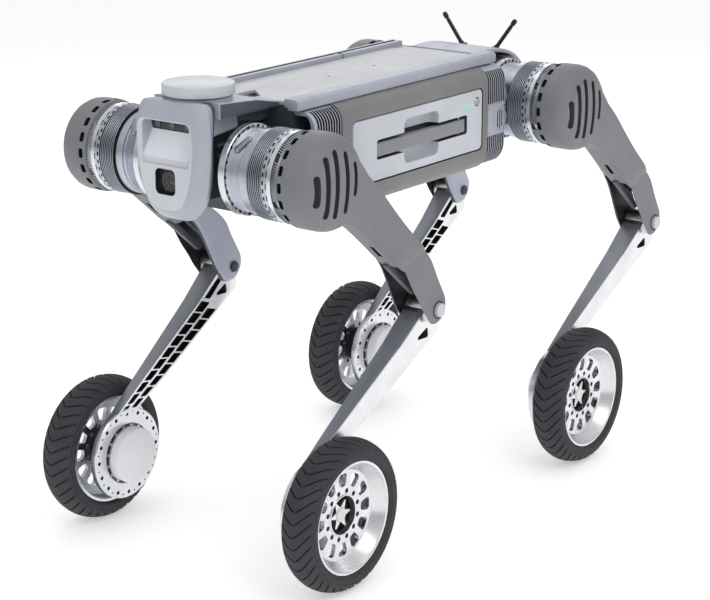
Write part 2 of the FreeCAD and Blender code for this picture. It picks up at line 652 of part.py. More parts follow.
def shin():
    """The lower leg: +X runs down to the axle, +Z is its front."""
    outline = [("-6", "20"), ("20", "17"), ("86", "23.4"), ("263", "54"), ("322", "64"),
               ("322", "40"), ("222", "11"), ("32", "-34"), ("16", "-36"), ("-14", "-15")]
    blade = prism("shin_blade", "XZ", [outline], "179.2", "218")
    lug = rod("shin_lug", "Y", "lug_radius", "179.2", "fork_gap - 1")
    taper = prism("shin_taper", "XY", [[("86", "218"), ("263", "198"), ("345", "189"),
                  ("345", "240"), ("86", "240")]], "-60", "90")
    ring = rod("shin_ring", "Y", "ring_radius", "179.2", "190", x="shin_length")
    bore = rod("shin_ring_bore", "Y", "ring_bore", "170", "200", x="shin_length")
    eye = rod("shin_eye", "Y", "pin_radius + running_gap", "170", "fork_gap + 5")
    seat = rod("shin_motor_seat", "Y", "ring_radius - 11", "190.1", "210", x="shin_length")
    window = prism("shin_window", "XZ", [[("26", "-8"), ("62", "2"), ("34", "-22")]],
                   "170", "fork_gap + 5")
    body = fuse("shin_solid", cut("shin_tapered", blade, taper), lug, ring)
    return cut("shin", body, bore, eye, window, seat)


def wheel_motor():
    return lathe("wheel_motor", "Y", [(0, "159.7"), ("drum_radius - 2", "159.7"),
                 ("drum_radius", "162"), ("drum_radius", "190.2"), (60, "190.2"), (60, "195"),
                 (40, "198"), (0, "198")])


def wheel_rim():
    out = "wheel_half + lip_half"
    inn = "wheel_half - lip_half"
    rim = lathe("wheel_rim", "Y", [
        (0, "199"), (30, "199"), (30, "231"), ("disc_radius - 2", "231"), (77, "228"),
        (79, inn), ("lip_radius", inn), ("lip_radius", inn + " + 1.7"),
        ("seat_radius", inn + " + 1.7"), ("seat_radius", out + " - 1.7"),
        ("lip_radius", out + " - 1.7"), ("lip_radius", out), (80, out),
        ("disc_radius", "238"), (0, "238")])
    drill_ring(rim, ("window_ring", 0, "window_radius"), "220", 30, 12)
    return rim


def tyre():
    shoulder = [(0.3, 3.0), (7.4, 0.0), (15.4, 1.2), (23.4, 10.2), (28.0, 20.2)]
    outer = [("lip_radius + %s" % rise, "wheel_half + tyre_half - %s" % back)
             for rise, back in shoulder]
    inner = [("lip_radius + %s" % rise, "wheel_half - tyre_half + %s" % back)
             for rise, back in shoulder]
    edges = [sign + "(lip_half - 2)" for sign in ("wheel_half - ", "wheel_half + ")]
    bore = [("seat_radius", edge) for edge in edges]
    crown = [("wheel_radius", "wheel_half")]
    outline = bore + [("lip_radius + 0.3", edges[1])] + outer + crown + inner[::-1]
    outline.append(("lip_radius + 0.3", edges[0]))
    return lathe("tyre", "Y", outline)


# ---------------------------------------------------------------- the four legs

def make_legs():
    thigh_turn = number("thigh_lean")
    shin_turn = number("shin_lean")
    # node name, source, height of its joint, X of its joint behind the hip axis, turn about Y
    pieces = [
        ("hip_housing", hip_housing(), "hip_height", "0", 0),
        ("hip_motor", hip_motor(), "hip_height", "0", 0),
        ("thigh_frame", thigh_frame(), "hip_height", "0", thigh_turn),
        ("thigh_cover", thigh_cover(), "hip_height", "0", thigh_turn),
        ("knee_drive", knee_drive(), "hip_height", "0", thigh_turn),
        ("shin", shin(), "knee_height", "knee_back", shin_turn),
        ("wheel_motor", wheel_motor(), "wheel_radius", "axle_back", 0),
        ("wheel_rim", wheel_rim(), "wheel_radius", "axle_back", 0),
        ("tyre", tyre(), "wheel_radius", "axle_back", 0),
    ]
    for end, sign in (("front", 1), ("rear", -1)):
        for side in ("left", "right"):
            for name, source, height, behind, turn in pieces:
                label = "%s_%s_%s" % (end, side, name)
                piece = source
                if name == "hip_housing" and end == "rear":
                    piece = mirrored(label + "_turned", piece, V(1, 0, 0))
                if side == "right":
                    piece = mirrored(label + "_mirrored", piece, V(0, 1, 0))
                held = group(label + "_placed", piece)
                held.Placement.Rotation = FreeCAD.Rotation(V(0, 1, 0), turn)
                where = "body_shift + %d * hip_reach - %s" % (sign, behind)
                node(label, held, x=where, z=height)


def export():
    doc.recompute()
    for thing in doc.Objects:
        if "Invalid" in thing.State or "Error" in thing.State:
            raise RuntimeError("%s failed: %s" % (thing.Label, thing.State))
    os.makedirs("parts", exist_ok=True)
    low = [1e9] * 3
    high = [-1e9] * 3
    for thing in NODES:
        shape = thing.Shape
        if shape.isNull() or not shape.isValid():
            raise RuntimeError("%s has no valid shape" % thing.Label)
        shape.exportStep(os.path.join("parts", thing.Label + ".step"))
        box = shape.BoundBox
        low = [min(a, b) for a, b in zip(low, (box.XMin, box.YMin, box.ZMin))]
        high = [max(a, b) for a, b in zip(high, (box.XMax, box.YMax, box.ZMax))]
        print("%-30s solids %d  volume %.0f" % (thing.Label, len(shape.Solids), shape.Volume))
    print(len(NODES), "nodes, box", [round(v, 1) for v in low], [round(v, 1) for v in high])


make_chassis()
make_top()
make_rails()
make_covers()
make_bulkheads()
make_roll_actuators()
make_electronics()
make_battery()
make_neck()
make_head()
make_tail()
make_legs()
export()
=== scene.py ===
import json
import math
from math import cos, hypot, pi, radians, sin

import bmesh
import bpy
from mathutils import Matrix, Vector


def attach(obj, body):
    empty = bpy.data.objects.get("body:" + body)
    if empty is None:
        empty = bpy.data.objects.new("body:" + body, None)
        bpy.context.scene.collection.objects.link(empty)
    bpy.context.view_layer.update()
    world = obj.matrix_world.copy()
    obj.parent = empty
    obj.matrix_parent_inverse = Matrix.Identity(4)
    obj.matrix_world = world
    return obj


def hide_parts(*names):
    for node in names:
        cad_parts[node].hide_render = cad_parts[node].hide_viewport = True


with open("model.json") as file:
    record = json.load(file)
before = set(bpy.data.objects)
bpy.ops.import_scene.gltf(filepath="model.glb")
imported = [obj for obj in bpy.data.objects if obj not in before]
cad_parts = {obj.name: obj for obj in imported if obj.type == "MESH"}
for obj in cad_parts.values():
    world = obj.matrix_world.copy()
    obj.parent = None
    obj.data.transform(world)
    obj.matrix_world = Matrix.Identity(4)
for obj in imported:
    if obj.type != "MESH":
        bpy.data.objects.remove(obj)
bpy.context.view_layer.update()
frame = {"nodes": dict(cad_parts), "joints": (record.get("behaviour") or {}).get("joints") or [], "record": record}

# Shapes are drawn in millimetres and written to Blender in metres. A leg piece is drawn once, for a
# left leg: x and z are taken from its joint, y from the robot's mid-plane, +y outwards.
MM = 0.001
TO_METRES = Matrix.Diagonal((MM, MM, MM, 1))
MIRROR = Matrix.Diagonal((1, -1, 1, 1))
TURN = 2 * pi
shift = Matrix.Translation
JOINTS = {j["name"]: Vector(j["pos_m"]) / MM for j in frame["joints"] if "pos_m" in j}
LEGS = [(end, side) for end in ("front", "rear") for side in ("left", "right")]
HIP = JOINTS["front_left_hip_pitch"]
KNEE = JOINTS["front_left_knee"]
AXLE = JOINTS["front_left_wheel_spin"]
ROLL_Y = JOINTS["front_left_roll"].y
THIGH = Vector((KNEE.x - HIP.x, 0, KNEE.z - HIP.z))
SHIN = Vector((AXLE.x - KNEE.x, 0, AXLE.z - KNEE.z))
# middle of the four hips, which is where body pieces are measured from along X
MID = (HIP.x + JOINTS["rear_left_hip_pitch"].x) / 2


# ------------------------------------------------------------------ materials

def new_material(name, colour, metallic, roughness, **sockets):
    material = bpy.data.materials.new(name)
    material.use_nodes = True
    shader = material.node_tree.nodes["Principled BSDF"]
    shader.inputs["Base Color"].default_value = (*colour, 1)
    shader.inputs["Metallic"].default_value = metallic
    shader.inputs["Roughness"].default_value = roughness
    for key, value in sockets.items():
        shader.inputs[key.replace("_", " ")].default_value = value
    return material, material.node_tree, shader


def noise(tree, scale, detail=4.0, stretch=(1, 1, 1)):
    """A noise texture laid out in the piece's own space."""
    place = tree.nodes.new("ShaderNodeTexCoord")
    mapping = tree.nodes.new("ShaderNodeMapping")
    mapping.inputs["Scale"].default_value = stretch
    texture = tree.nodes.new("ShaderNodeTexNoise")
    texture.inputs["Scale"].default_value = scale
    texture.inputs["Detail"].default_value = detail
    tree.links.new(place.outputs["Object"], mapping.inputs["Vector"])
    tree.links.new(mapping.outputs["Vector"], texture.inputs["Vector"])
    return texture.outputs["Fac"]


def remap(tree, source, low, high):
    node = tree.nodes.new("ShaderNodeMapRange")
    node.inputs["From Min"].default_value = 0.3
    node.inputs["From Max"].default_value = 0.7
    node.inputs["To Min"].default_value = low
    node.inputs["To Max"].default_value = high
    tree.links.new(source, node.inputs["Value"])
    return node.outputs["Result"]


def mottle(tree, shader, source, dark, light):
    ramp = tree.nodes.new("ShaderNodeValToRGB")
    ramp.color_ramp.elements[0].position = 0.35
    ramp.color_ramp.elements[1].position = 0.65
    ramp.color_ramp.elements[0].color = (*dark, 1)
    ramp.color_ramp.elements[1].color = (*light, 1)
    tree.links.new(source, ramp.inputs["Fac"])
    tree.links.new(ramp.outputs["Color"], shader.inputs["Base Color"])


def bump(tree, shader, source, strength, distance):
    node = tree.nodes.new("ShaderNodeBump")
    node.inputs["Strength"].default_value = strength
    node.inputs["Distance"].default_value = distance
    tree.links.new(source, node.inputs["Height"])
    tree.links.new(node.outputs["Normal"], shader.inputs["Normal"])


def paint(name, colour, roughness=0.42, grain=0.10, metallic=0.0, coat=0.0):
    """Powder coat or moulded plastic: faint cloudiness, fine orange peel, uneven gloss."""
    material, tree, shader = new_material(name, colour, metallic, roughness, Coat_Weight=coat)
    dark = [c * 0.94 for c in colour]
    light = [min(c * 1.05, 1) for c in colour]
    mottle(tree, shader, noise(tree, 14), dark, light)
    gloss = remap(tree, noise(tree, 60, 6), roughness - 0.05, roughness + 0.06)
    tree.links.new(gloss, shader.inputs["Roughness"])
    bump(tree, shader, noise(tree, 900, 2), grain, 0.0004)
    return material


def metal(name, colour, roughness, lines=(1, 1, 1), scale=300, grain=0.08):
    """Machined metal: tool lines stretched along one direction, in gloss and in relief."""
    material, tree, shader = new_material(name, colour, 1.0, roughness)
    streaks = noise(tree, scale, 3, lines)
    dark = [c * 0.90 for c in colour]
    mottle(tree, shader, noise(tree, 25, 5), dark, colour)
    gloss = remap(tree, streaks, roughness * 0.9, roughness * 1.15)
    tree.links.new(gloss, shader.inputs["Roughness"])
    bump(tree, shader, streaks, grain, 0.0003)
    return material


def rubber(name, colour):
    material, tree, shader = new_material(name, colour, 0.0, 0.72, Specular_IOR_Level=0.35)
    dusty = [c * 1.25 for c in colour]
    mottle(tree, shader, noise(tree, 30, 8), colour, dusty)
    bump(tree, shader, noise(tree, 1400, 2), 0.25, 0.0004)
    return material


def lamp(name, colour, strength):
    material, tree, shader = new_material(name, colour, 0.0, 0.3)
    shader.inputs["Emission Color"].default_value = (*colour, 1)
    shader.inputs["Emission Strength"].default_value = strength
    bump(tree, shader, noise(tree, 400), 0.05, 0.0002)
    return material


def smoked_glass(name):
    material, tree, shader = new_material(name, (0.03, 0.03, 0.035), 0.0, 0.08, Coat_Weight=0.6)
    shader.inputs["Alpha"].default_value = 0.22
    bump(tree, shader, noise(tree, 40), 0.02, 0.0002)
    return material


# colour, roughness, grain, metallic, coat
PAINTS = {
    "shell": ((0.44, 0.46, 0.53), 0.40, 0.08),
    # painted light: a pale paint for the up-facing lower face of the head's recess
    "glow": ((0.78, 0.80, 0.86), 0.34, 0.04),
    "shell_light": ((0.62, 0.64, 0.69), 0.36, 0.06),
    "deck": ((0.54, 0.55, 0.58), 0.45, 0.08),
    "recess": ((0.055, 0.055, 0.06), 0.6, 0.10),
    "cover": ((0.205, 0.210, 0.225), 0.52, 0.14),
    "grip": ((0.27, 0.275, 0.295), 0.5, 0.14),
    "wrap": ((0.225, 0.222, 0.225), 0.50, 0.12),
    "thigh_light": ((0.44, 0.46, 0.55), 0.40, 0.08),
    "slate": ((0.085, 0.095, 0.125), 0.45, 0.10),
    # painted reflection: the shin blade's front faces, darker grey-blue for the dark surroundings they reflect
    "blade_front_reflection": ((0.27, 0.28, 0.32), 0.36, 0.06, 0.35),
    "black": ((0.012, 0.012, 0.014), 0.55, 0.12),
    "dark": ((0.035, 0.036, 0.040), 0.50, 0.10),
    "motor_white": ((0.80, 0.80, 0.82), 0.32, 0.05, 0.0, 0.2),
    "lens": ((0.05, 0.03, 0.06), 0.12, 0.02, 0.0, 1.0),
    "barrel": ((0.13, 0.12, 0.12), 0.4, 0.06),
    "board": ((0.02, 0.12, 0.06), 0.5, 0.2),
    "cells": ((0.05, 0.05, 0.06), 0.5, 0.1),
}
# colour, roughness, tool lines' direction, their scale, grain
METALS = {
    "turned": ((0.52, 0.55, 0.62), 0.32, (0.2, 8, 0.2), 260, 0.04),
    "fin": ((0.36, 0.38, 0.43), 0.34, (0.2, 8, 0.2), 260),
    "bright": ((0.76, 0.77, 0.80), 0.24, (1, 6, 1), 120, 0.015),
    "rim": ((0.80, 0.80, 0.82), 0.27, (1, 5, 1), 150, 0.015),
    "steel": ((0.50, 0.51, 0.54), 0.28, (1, 1, 1), 220),
}
MATERIALS = {name: paint(name, *row) for name, row in PAINTS.items()}
MATERIALS.update((name, metal(name, *row)) for name, row in METALS.items())
MATERIALS["rubber"] = rubber("rubber", (0.040, 0.040, 0.046))
MATERIALS["glass"] = smoked_glass("glass")
MATERIALS["green"] = lamp("green", (0.01, 0.55, 0.10), 1.3)
# the record's material slots whose look has another name
SLOT_LOOK = {"cover": "wrap", "dark": "slate", "machined": "turned", "polished": "bright",
             "motor": "motor_white", "tyre": "rubber"}


# ------------------------------------------------------------------ flat outlines

def fillet(corners, step=15.0):
    """A closed outline from (a, b, radius) corners, each rounded by an arc."""
    outline = []
    count = len(corners)
    for index, (a, b, radius) in enumerate(corners):
        here = Vector((a, b))
        before = (Vector(corners[index - 1][:2]) - here).normalized()
        after = (Vector(corners[(index + 1) % count][:2]) - here).normalized()
        opening = before.angle(after)
        if radius <= 0 or opening > radians(178):
            outline.append(here)
            continue
        reach = radius / math.tan(opening / 2)
        centre = here + (before + after).normalized() * radius / sin(opening / 2)
        first = here + before * reach - centre
        sweep = pi - opening
        turn = 1 if before.cross(after) < 0 else -1
        pieces = max(2, round(math.degrees(sweep) / step))
        for piece in range(pieces + 1):
            angle = turn * sweep * piece / pieces
            outline.append(centre + Matrix.Rotation(angle, 2) @ first)
    return outline


def circle(a, b, radius, count=48):
    steps = [TURN * i / count for i in range(count)]
    return [Vector((a + radius * cos(t), b + radius * sin(t))) for t in steps]


def facing_up(outline):
    """The same outline, counter-clockwise."""
    area = sum(outline[i - 1].cross(outline[i]) for i in range(len(outline)))
    return outline if area > 0 else outline[::-1]


def inset(outline, distances):
    """A counter-clockwise outline moved inwards, by a distance for each point."""
    moved = []
    count = len(outline)
    for index, distance in enumerate(distances):
        here = outline[index]
        one = (here - outline[index - 1]).normalized()
        two = (outline[(index + 1) % count] - here).normalized()
        inward = Vector((-one.y - two.y, one.x + two.x))
        stretch = max(inward.length_squared / 2, 0.3)
        moved.append(here + inward * distance / stretch)
    return moved


def box_outline(a, b, radius=0.0):
    """A rectangle between (low, high) pairs, with rounded corners."""
    corners = [(a[0], b[0]), (a[1], b[0]), (a[1], b[1]), (a[0], b[1])]
    return fillet([(*corner, radius) for corner in corners])


def ring_profile(radius, low, high, bore=0):
    """The profile of a plain cylinder between two heights, or of a ring round a bore."""
    return [(bore, low), (radius, low), (radius, high), (bore, high)]


def spin(angle, axis="Y"):
    """The matrix of a turn about an axis through the origin."""
    return Matrix.Rotation(angle, 4, axis)


def smooth_step(value, low, high):
    t = min(max((value - low) / (high - low), 0.0), 1.0)
    return t * t * (3 - 2 * t)


# ------------------------------------------------------------------ solids

ROUND_STEPS = 5
PLANES = {
    "XZ": lambda a, b, h: (a, h, b),
    "XY": lambda a, b, h: (a, b, h),
    "YZ": lambda a, b, h: (h, a, b),
}


class Form:
    """Closed solids collected in one mesh, each face with a named material."""

    def __init__(self, looks=None):
        self.mesh = bmesh.new()
        self.looks = looks if looks is not None else []

    def look(self, name):
        if name not in self.looks:
            self.looks.append(name)
        return self.looks.index(name)

    def face(self, verts, tag):
        try:
            made = self.mesh.faces.new(verts)
        except ValueError:
            return
        made.material_index = tag
        made.smooth = True

    def ring(self, points):
        return [self.mesh.verts.new(p) for p in points]

    def join(self, one, two, tag, closed=True):
        count = len(one)
        for i in range(count if closed else count - 1):
            j = (i + 1) % count
            self.face((one[i], one[j], two[j], two[i]), tag)

    def slab(self, outline, low, high, look, plane="XZ", soft=0.0, soft_low=None):
        """An outline between two heights, its upper (and lower) edges rounded.

        soft is a radius, or a function that gives the radius at an outline point."""
        put = PLANES[plane]
        tag = self.look(look)
        outline = facing_up(outline)
        soft_low = soft if soft_low is None else soft_low
        rings = []
        for end, soft_here, sign in ((low, soft_low, 1), (high, soft, -1)):
            radii = [soft_here(p) if callable(soft_here) else soft_here for p in outline]
            steps = ROUND_STEPS if max(radii) > 1.2 else 2
            turns = [pi / 2 * i / steps for i in range(steps + 1)] if max(radii) else [pi / 2]
            part = []
            for turn in turns:
                pulls = [r * (1 - sin(turn)) for r in radii]
                rises = [r * (1 - cos(turn)) for r in radii]
                edge = inset(outline, pulls)
                part.append([put(p.x, p.y, end + sign * rise) for p, rise in zip(edge, rises)])
            rings += part if sign > 0 else part[::-1]
        rings = [self.ring(points) for points in rings]
        for one, two in zip(rings, rings[1:]):
            self.join(one, two, tag)
        self.face(rings[0][::-1], tag)
        self.face(rings[-1], tag)
        return self

    def turn(self, profile, look, centre=(0, 0, 0), axis="Y", count=96, looks=None):
        """A solid of revolution from (radius, height) points; looks names some bands' material."""
        tag = self.look(look)
        bands = {} if looks is None else looks
        rings = []
        for radius, height in profile:
            if radius <= 1e-6:
                points = [(0, 0)]
            else:
                steps = [TURN * i / count for i in range(count)]
                points = [(radius * cos(t), radius * sin(t)) for t in steps]
            ring = []
            for a, b in points:
                spot = {"Y": (a, height, b), "X": (height, a, b), "Z": (a, b, height)}[axis]
                ring.append(self.mesh.verts.new(Vector(spot) + Vector(centre)))
            rings.append(ring)
        pairs = list(zip(rings, rings[1:] + rings[:1]))
        if len(rings[0]) == 1 and len(rings[-1]) == 1:
            pairs.pop()
        for index, (one, two) in enumerate(pairs):
            band = self.look(bands[index]) if index in bands else tag
            if len(one) == 1 and len(two) == 1:
                continue
            if len(one) == 1 or len(two) == 1:
                pole, rim = (one[0], two) if len(one) == 1 else (two[0], one)
                for i in range(count):
                    self.face((pole, rim[i], rim[(i + 1) % count]), band)
            else:
                self.join(one, two, band)
        return self

    def add(self, other, matrix=None):
        """Bring in a copy of another form's solids, drawn with the same list of looks."""
        keep = bpy.data.meshes.new("copy")
        other.mesh.to_mesh(keep)
        if matrix is not None:
            keep.transform(matrix)
        tags = [self.look(name) for name in other.looks]
        before = len(self.mesh.faces)
        self.mesh.from_mesh(keep)
        self.mesh.faces.ensure_lookup_table()
        for index in range(before, len(self.mesh.faces)):
            face = self.mesh.faces[index]
            face.material_index = tags[face.material_index]
        bpy.data.meshes.remove(keep)
        return self

    def score(self, point, normal):
        """Cut every face it crosses along a plane, keeping both halves."""
        everything = self.mesh.verts[:] + self.mesh.edges[:] + self.mesh.faces[:]
        bmesh.ops.bisect_plane(self.mesh, geom=everything, plane_co=point, plane_no=normal)
        return self

    def press(self, rule):
        """Move every vertex by a rule of its place."""
        for vert in self.mesh.verts:
            vert.co = rule(vert.co.copy())
        return self

    def repaint(self, look, rule):
        """Give the faces a rule picks, by centre and normal, another look."""
        self.tidy()
        tag = self.look(look)
        for face in self.mesh.faces:
            if rule(face.calc_center_median(), face.normal):
                face.material_index = tag
        return self

    def sink(self, rule, depth, look, draft):
        """Push the regions of faces a rule picks inwards, their walls slightly drafted."""
        self.tidy()
        chosen = [f for f in self.mesh.faces if rule(f.calc_center_median(), f.normal)]
        walls = bmesh.ops.inset_region(self.mesh, faces=chosen, thickness=draft, depth=-depth,
                                       use_boundary=True, use_even_offset=True)["faces"]
        for face in chosen + list(walls):
            face.material_index = self.look(look)
        return self

    def tidy(self):
        bmesh.ops.recalc_face_normals(self.mesh, faces=self.mesh.faces)
        return self

    def carve(self, cutters):
        """Take the cutters' solids away; cut faces keep the cutters' materials."""
        self.tidy()
        tools = Form(self.looks)
        tools.add(cutters).tidy()
        objects = []
        for form in (self, tools):
            data = bpy.data.meshes.new("carve")
            form.mesh.to_mesh(data)
            thing = bpy.data.objects.new("carve", data)
            for name in self.looks:
                data.materials.append(MATERIALS[name])
            bpy.context.scene.collection.objects.link(thing)
            objects.append(thing)
        target, tool = objects
        modifier = target.modifiers.new("carve", "BOOLEAN")
        modifier.operation = "DIFFERENCE"
        modifier.solver = "EXACT"
        modifier.material_mode = "INDEX"
        modifier.object = tool
        bpy.context.view_layer.update()
        graph = bpy.context.evaluated_depsgraph_get()
        result = bpy.data.meshes.new_from_object(target.evaluated_get(graph))
        self.mesh.clear()
        self.mesh.from_mesh(result)
        for thing in objects:
            bpy.data.objects.remove(thing)
        return self

    def hull(self, points, look):
        """The convex solid round some points."""
        verts = [self.mesh.verts.new(p) for p in points]
        made = bmesh.ops.convex_hull(self.mesh, input=verts)["geom"]
        for thing in made:
            if isinstance(thing, bmesh.types.BMFace):
                thing.material_index = self.look(look)
        return self


def emit(form, name, body, nodes, slot, matrix=None, sharp=35.0):
    """Make the Blender piece: in metres, in the frame, on its body, in place of its CAD nodes."""
    data = bpy.data.meshes.new(name)
    form.tidy()
    form.mesh.to_mesh(data)
    if matrix is not None:
        data.transform(matrix)
        if matrix.determinant() < 0:
            data.flip_normals()
    data.transform(TO_METRES)
    for look in form.looks:
        data.materials.append(MATERIALS[look])
    data.polygons.foreach_set("use_smooth", [True] * len(data.polygons))
    data.set_sharp_from_angle(angle=radians(sharp))
    piece = bpy.data.objects.new(name, data)
    bpy.context.scene.collection.objects.link(piece)
    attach(piece, body)
    if nodes:
        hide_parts(*nodes)
    return piece


def emit_body(form, name, nodes, slot, body="body", **more):
    """A body piece, drawn with x from the middle of the hips."""
    return emit(form, name, body, nodes, slot, shift((MID, 0, 0)), **more)


def emit_legs(form, name, part, joint, node, slot, mirror_rear=False, **more):
    """The same leg piece at all four legs, mirrored on the right, and at the rear if asked."""
    for end, side in LEGS:
        prefix = "%s_%s_" % (end, side)
        where = JOINTS[prefix + joint]
        flips = (-1 if mirror_rear and end == "rear" else 1, 1 if side == "left" else -1)
        matrix = shift((where.x, 0, where.z)) @ Matrix.Diagonal((*flips, 1, 1))
        nodes = [prefix + node] if node else []
        emit(form, prefix + name, prefix + part, nodes, slot, matrix, **more)


def both(form):
    """A form and its mirror image across the mid-plane."""
    twin = Form(form.looks)
    twin.add(form, MIRROR)
    form.add(twin)
    return form


def around(form, source, count, radius, height, start=0.0):
    """Copies of a small form in a circle about the Y axis, standing at a height on it."""
    for index in range(count):
        turn = spin(start + TURN * index / count)
        form.add(source, turn @ shift((radius, height, 0)))
    return form


def frame_mm(origin, direction):
    """A matrix that lays a limb's own lengthwise x and crosswise z on the frame's X and Z."""
    along_limb = direction.normalized()
    across = Vector((-along_limb.z, 0, along_limb.x))
    rows = Matrix((along_limb, Vector((0, 1, 0)), across)).transposed().to_4x4()
    return shift(origin) @ rows


def bolt_head(radius, height=2.0, look="steel", depth=0.6):
    """A socket-head bolt standing on y = 0, its socket dark."""
    form = Form()
    socket = radius * 0.5
    form.turn([(0, -2), (radius, -2), (radius, height * 0.75), (radius * 0.85, height),
               (socket, height), (socket, height * (1 - depth)), (0, height * (1 - depth))],
              look, count=20, looks={4: "black", 5: "black"})
    return form


# ------------------------------------------------------------------ hip modules

FINS, FIN_PITCH = 8, 3.25
KNURLS, KNURL_PATCH, KNURLS_IN_PATCH = 108, 18, 15


def make_hip_housing():
    """Bolted flange, tapered bearing housing and smooth collar, with the roll flange behind."""
    form = Form()
    barrel = [(60, 86.5)]
    grooves = 8
    for i in range(grooves):
        y = 89 + i * 2.2
        barrel += [(59.2, y), (58.7, y + 0.4), (58.7, y + 0.9), (59.4, y + 1.3)]
    profile = [(0, 73.2), (57, 73.2), (59, 74.0), (65, 74.0), (66, 75.0), (66, 84.0),
               (65, 85.0), (61, 85.0)] + barrel
    profile += [(60.5, 107.2), (60.5, 108.4), (62, 109), (62, 121.5), (61, 122.5), (60, 123.4),
                (0, 123.4)]
    form.turn(profile, "turned", looks={4: "bright", 5: "bright", 2: "bright"}, count=120)
    # bolts in the flange: large and small in turn outside, one size inside
    for radius, start in ((2.6, 0.0), (1.5, pi / 18)):
        around(form, bolt_head(radius, 0.9, "black"), 18, 62.6, 84.7, start)
    inner = Form()
    inner.add(bolt_head(2.4, 0.8, "black"), MIRROR)
    around(form, inner, 24, 62.0, 74.2)
    # cable lug on the upper front of the barrel
    lug = Form()
    lug.slab(box_outline((-15, 15), (-5, 5), 4.9), 56, 64.5, "fin",
             "YZ", 2.5)
    where = spin(radians(-48)) @ shift((0, 101, 0))
    form.add(lug, where @ spin(radians(62), "X"))
    # web and roll flange towards the body
    web = Form()
    web.slab(fillet([(-62, -38, 8), (-30, -44, 10), (-30, 44, 10), (-62, 38, 8)]), 26, 74, "slate",
             "XZ", 4)
    form.add(web)
    form.turn([(0, -66), (47, -66), (50, -64.5), (50, -60.5), (48, -59.2), (0, -59.2)], "turned",
              (0, ROLL_Y, 0), "X", 96)
    bolt = bolt_head(2.6, 1.2, "black")
    quarter = spin(radians(-90), "Z")
    for index in range(16):
        turn = spin(TURN * index / 16, "X")
        place = shift((-59.6, ROLL_Y, 0)) @ turn @ shift((0, 0, 43))
        form.add(bolt, place @ quarter)
    return form


def make_hip_motor():
    """Finned motor can, vent ring, bright collar and knurled seat against the thigh."""
    form = Form()
    profile = [(0, 124.2), (60, 124.2)]
    bands = {}
    for i in range(FINS):
        y = 124.6 + i * FIN_PITCH
        profile += [(60.2, y), (65.3, y + 0.1), (65.7, y + 0.5), (65.7, y + 1.4), (65.3, y + 1.8),
                    (60.2, y + 1.9)]
        # fin walls and the grooves between the fins are painted black: painted shade between the fins; the fin
        # tops take the mid-grey fin metal
        for band in (1, 2, 6, 7):
            bands[6 * i + band] = "black"
        for band in (3, 4, 5):
            bands[6 * i + band] = "fin"
    profile += [(60.2, 150.4), (61.0, 151.2)]
    form.turn(profile + [(61.0, 172.2), (62.4, 172.4), (62.4, 177.8), (0, 177.8)],
              "turned", looks=bands, count=120)
    # vent ring: two rows of short slots round the can
    vents = Form()
    rows = [150.9, 152.4, 155.4, 158.6, 160.6, 167.6]
    segments = 144
    rings = [(60.0, rows[0])] + [(66.0, y) for y in rows] + [(60.0, rows[-1])]
    vents.turn(rings, "turned", count=segments, looks={5: "bright"})
    vents.tidy()
    step = TURN / segments

    def slot(offset, low, high, period, width):
        def rule(centre, normal):
            if not low < centre.y < high or hypot(centre.x, centre.z) < 65:
                return False
            turn = math.floor(math.atan2(centre.z, centre.x) / step + 1e-6)
            return (turn + offset) % period < width
        return rule

    vents.sink(slot(0, 152.4, 155.4, 4, 2), 3.0, "black", 0.25)
    vents.sink(slot(2, 158.6, 160.6, 6, 3), 3.0, "black", 0.25)
    form.add(vents)
    # knurl: short slanted ribs in six patches
    rib = Form()
    rib.slab([Vector((-0.7, -4.6)), Vector((0.7, -4.6)), Vector((4.4, 4.6)), Vector((3.0, 4.6))],
             0, 3.4, "turned", "XY")
    form.turn(ring_profile(61.9, 167.8, 177.6, 60), "dark", count=96)
    for index in range(KNURLS):
        if index % KNURL_PATCH < KNURLS_IN_PATCH:
            form.add(rib, spin(TURN * index / KNURLS) @ shift((0, 172.6, 61.6)))
    return form


# ------------------------------------------------------------------ thigh

DOME_R = 69.0
THIGH_INNER, SEAM, THIGH_OUTER = 178.3, 190.8, 236.0
FORK_CENTRE, FORK_R = 340.5, 30.0
CREASE = (206.0, 236.0)
KNEE_STEP = 8.0
THIGH_AT_HIP = frame_mm(Vector((0, 0, 0)), THIGH)
# (place along X, lowest, highest, bow, width, depth) of the five cooling slots in the dome
DOME_SLOTS = [(46.5, -25, 20, 1.0, 11.5, 17), (26.0, -44, 43, 5.0, 10.5, 13),
              (6.0, -47, 50, 6.5, 9.5, 13), (-17.0, -44, 44, 6.0, 8.5, 12),
              (-37.5, -23, 26, 2.5, 7.0, 10)]


def arc(centre, radius, start, end, count):
    """Points round a centre on the limb's line, between two angles."""
    steps = [radians(start + (end - start) * i / count) for i in range(count + 1)]
    return [Vector((centre + radius * cos(t), radius * sin(t))) for t in steps]


def curve_through(points, count=6):
    """A smooth line through (a, b) points."""
    spots = [Vector(p) for p in points]
    ends = [spots[0] * 2 - spots[1]] + spots + [spots[-1] * 2 - spots[-2]]
    line = []
    for index in range(1, len(ends) - 2):
        p0, p1, p2, p3 = ends[index - 1:index + 3]
        for step in range(count):
            t = step / count
            line.append(0.5 * (2 * p1 + (p2 - p0) * t + (2 * p0 - 5 * p1 + 4 * p2 - p3) * t * t
                               + (3 * p1 - p0 - 3 * p2 + p3) * t**3))
    line.append(spots[-1])
    return line


def thigh_outline(front, rear=((60, -55), (125, -50), (190, -48), (253, -50), (284, -48),
                               (314, -38.5))):
    """The dome and arm seen along Y: front is the lower edge's line, from knee end to dome."""
    dome = arc(0, DOME_R, 24, 296, 44)
    return dome + curve_through(rear) + arc(FORK_CENTRE, FORK_R, -72, 76, 14) + front


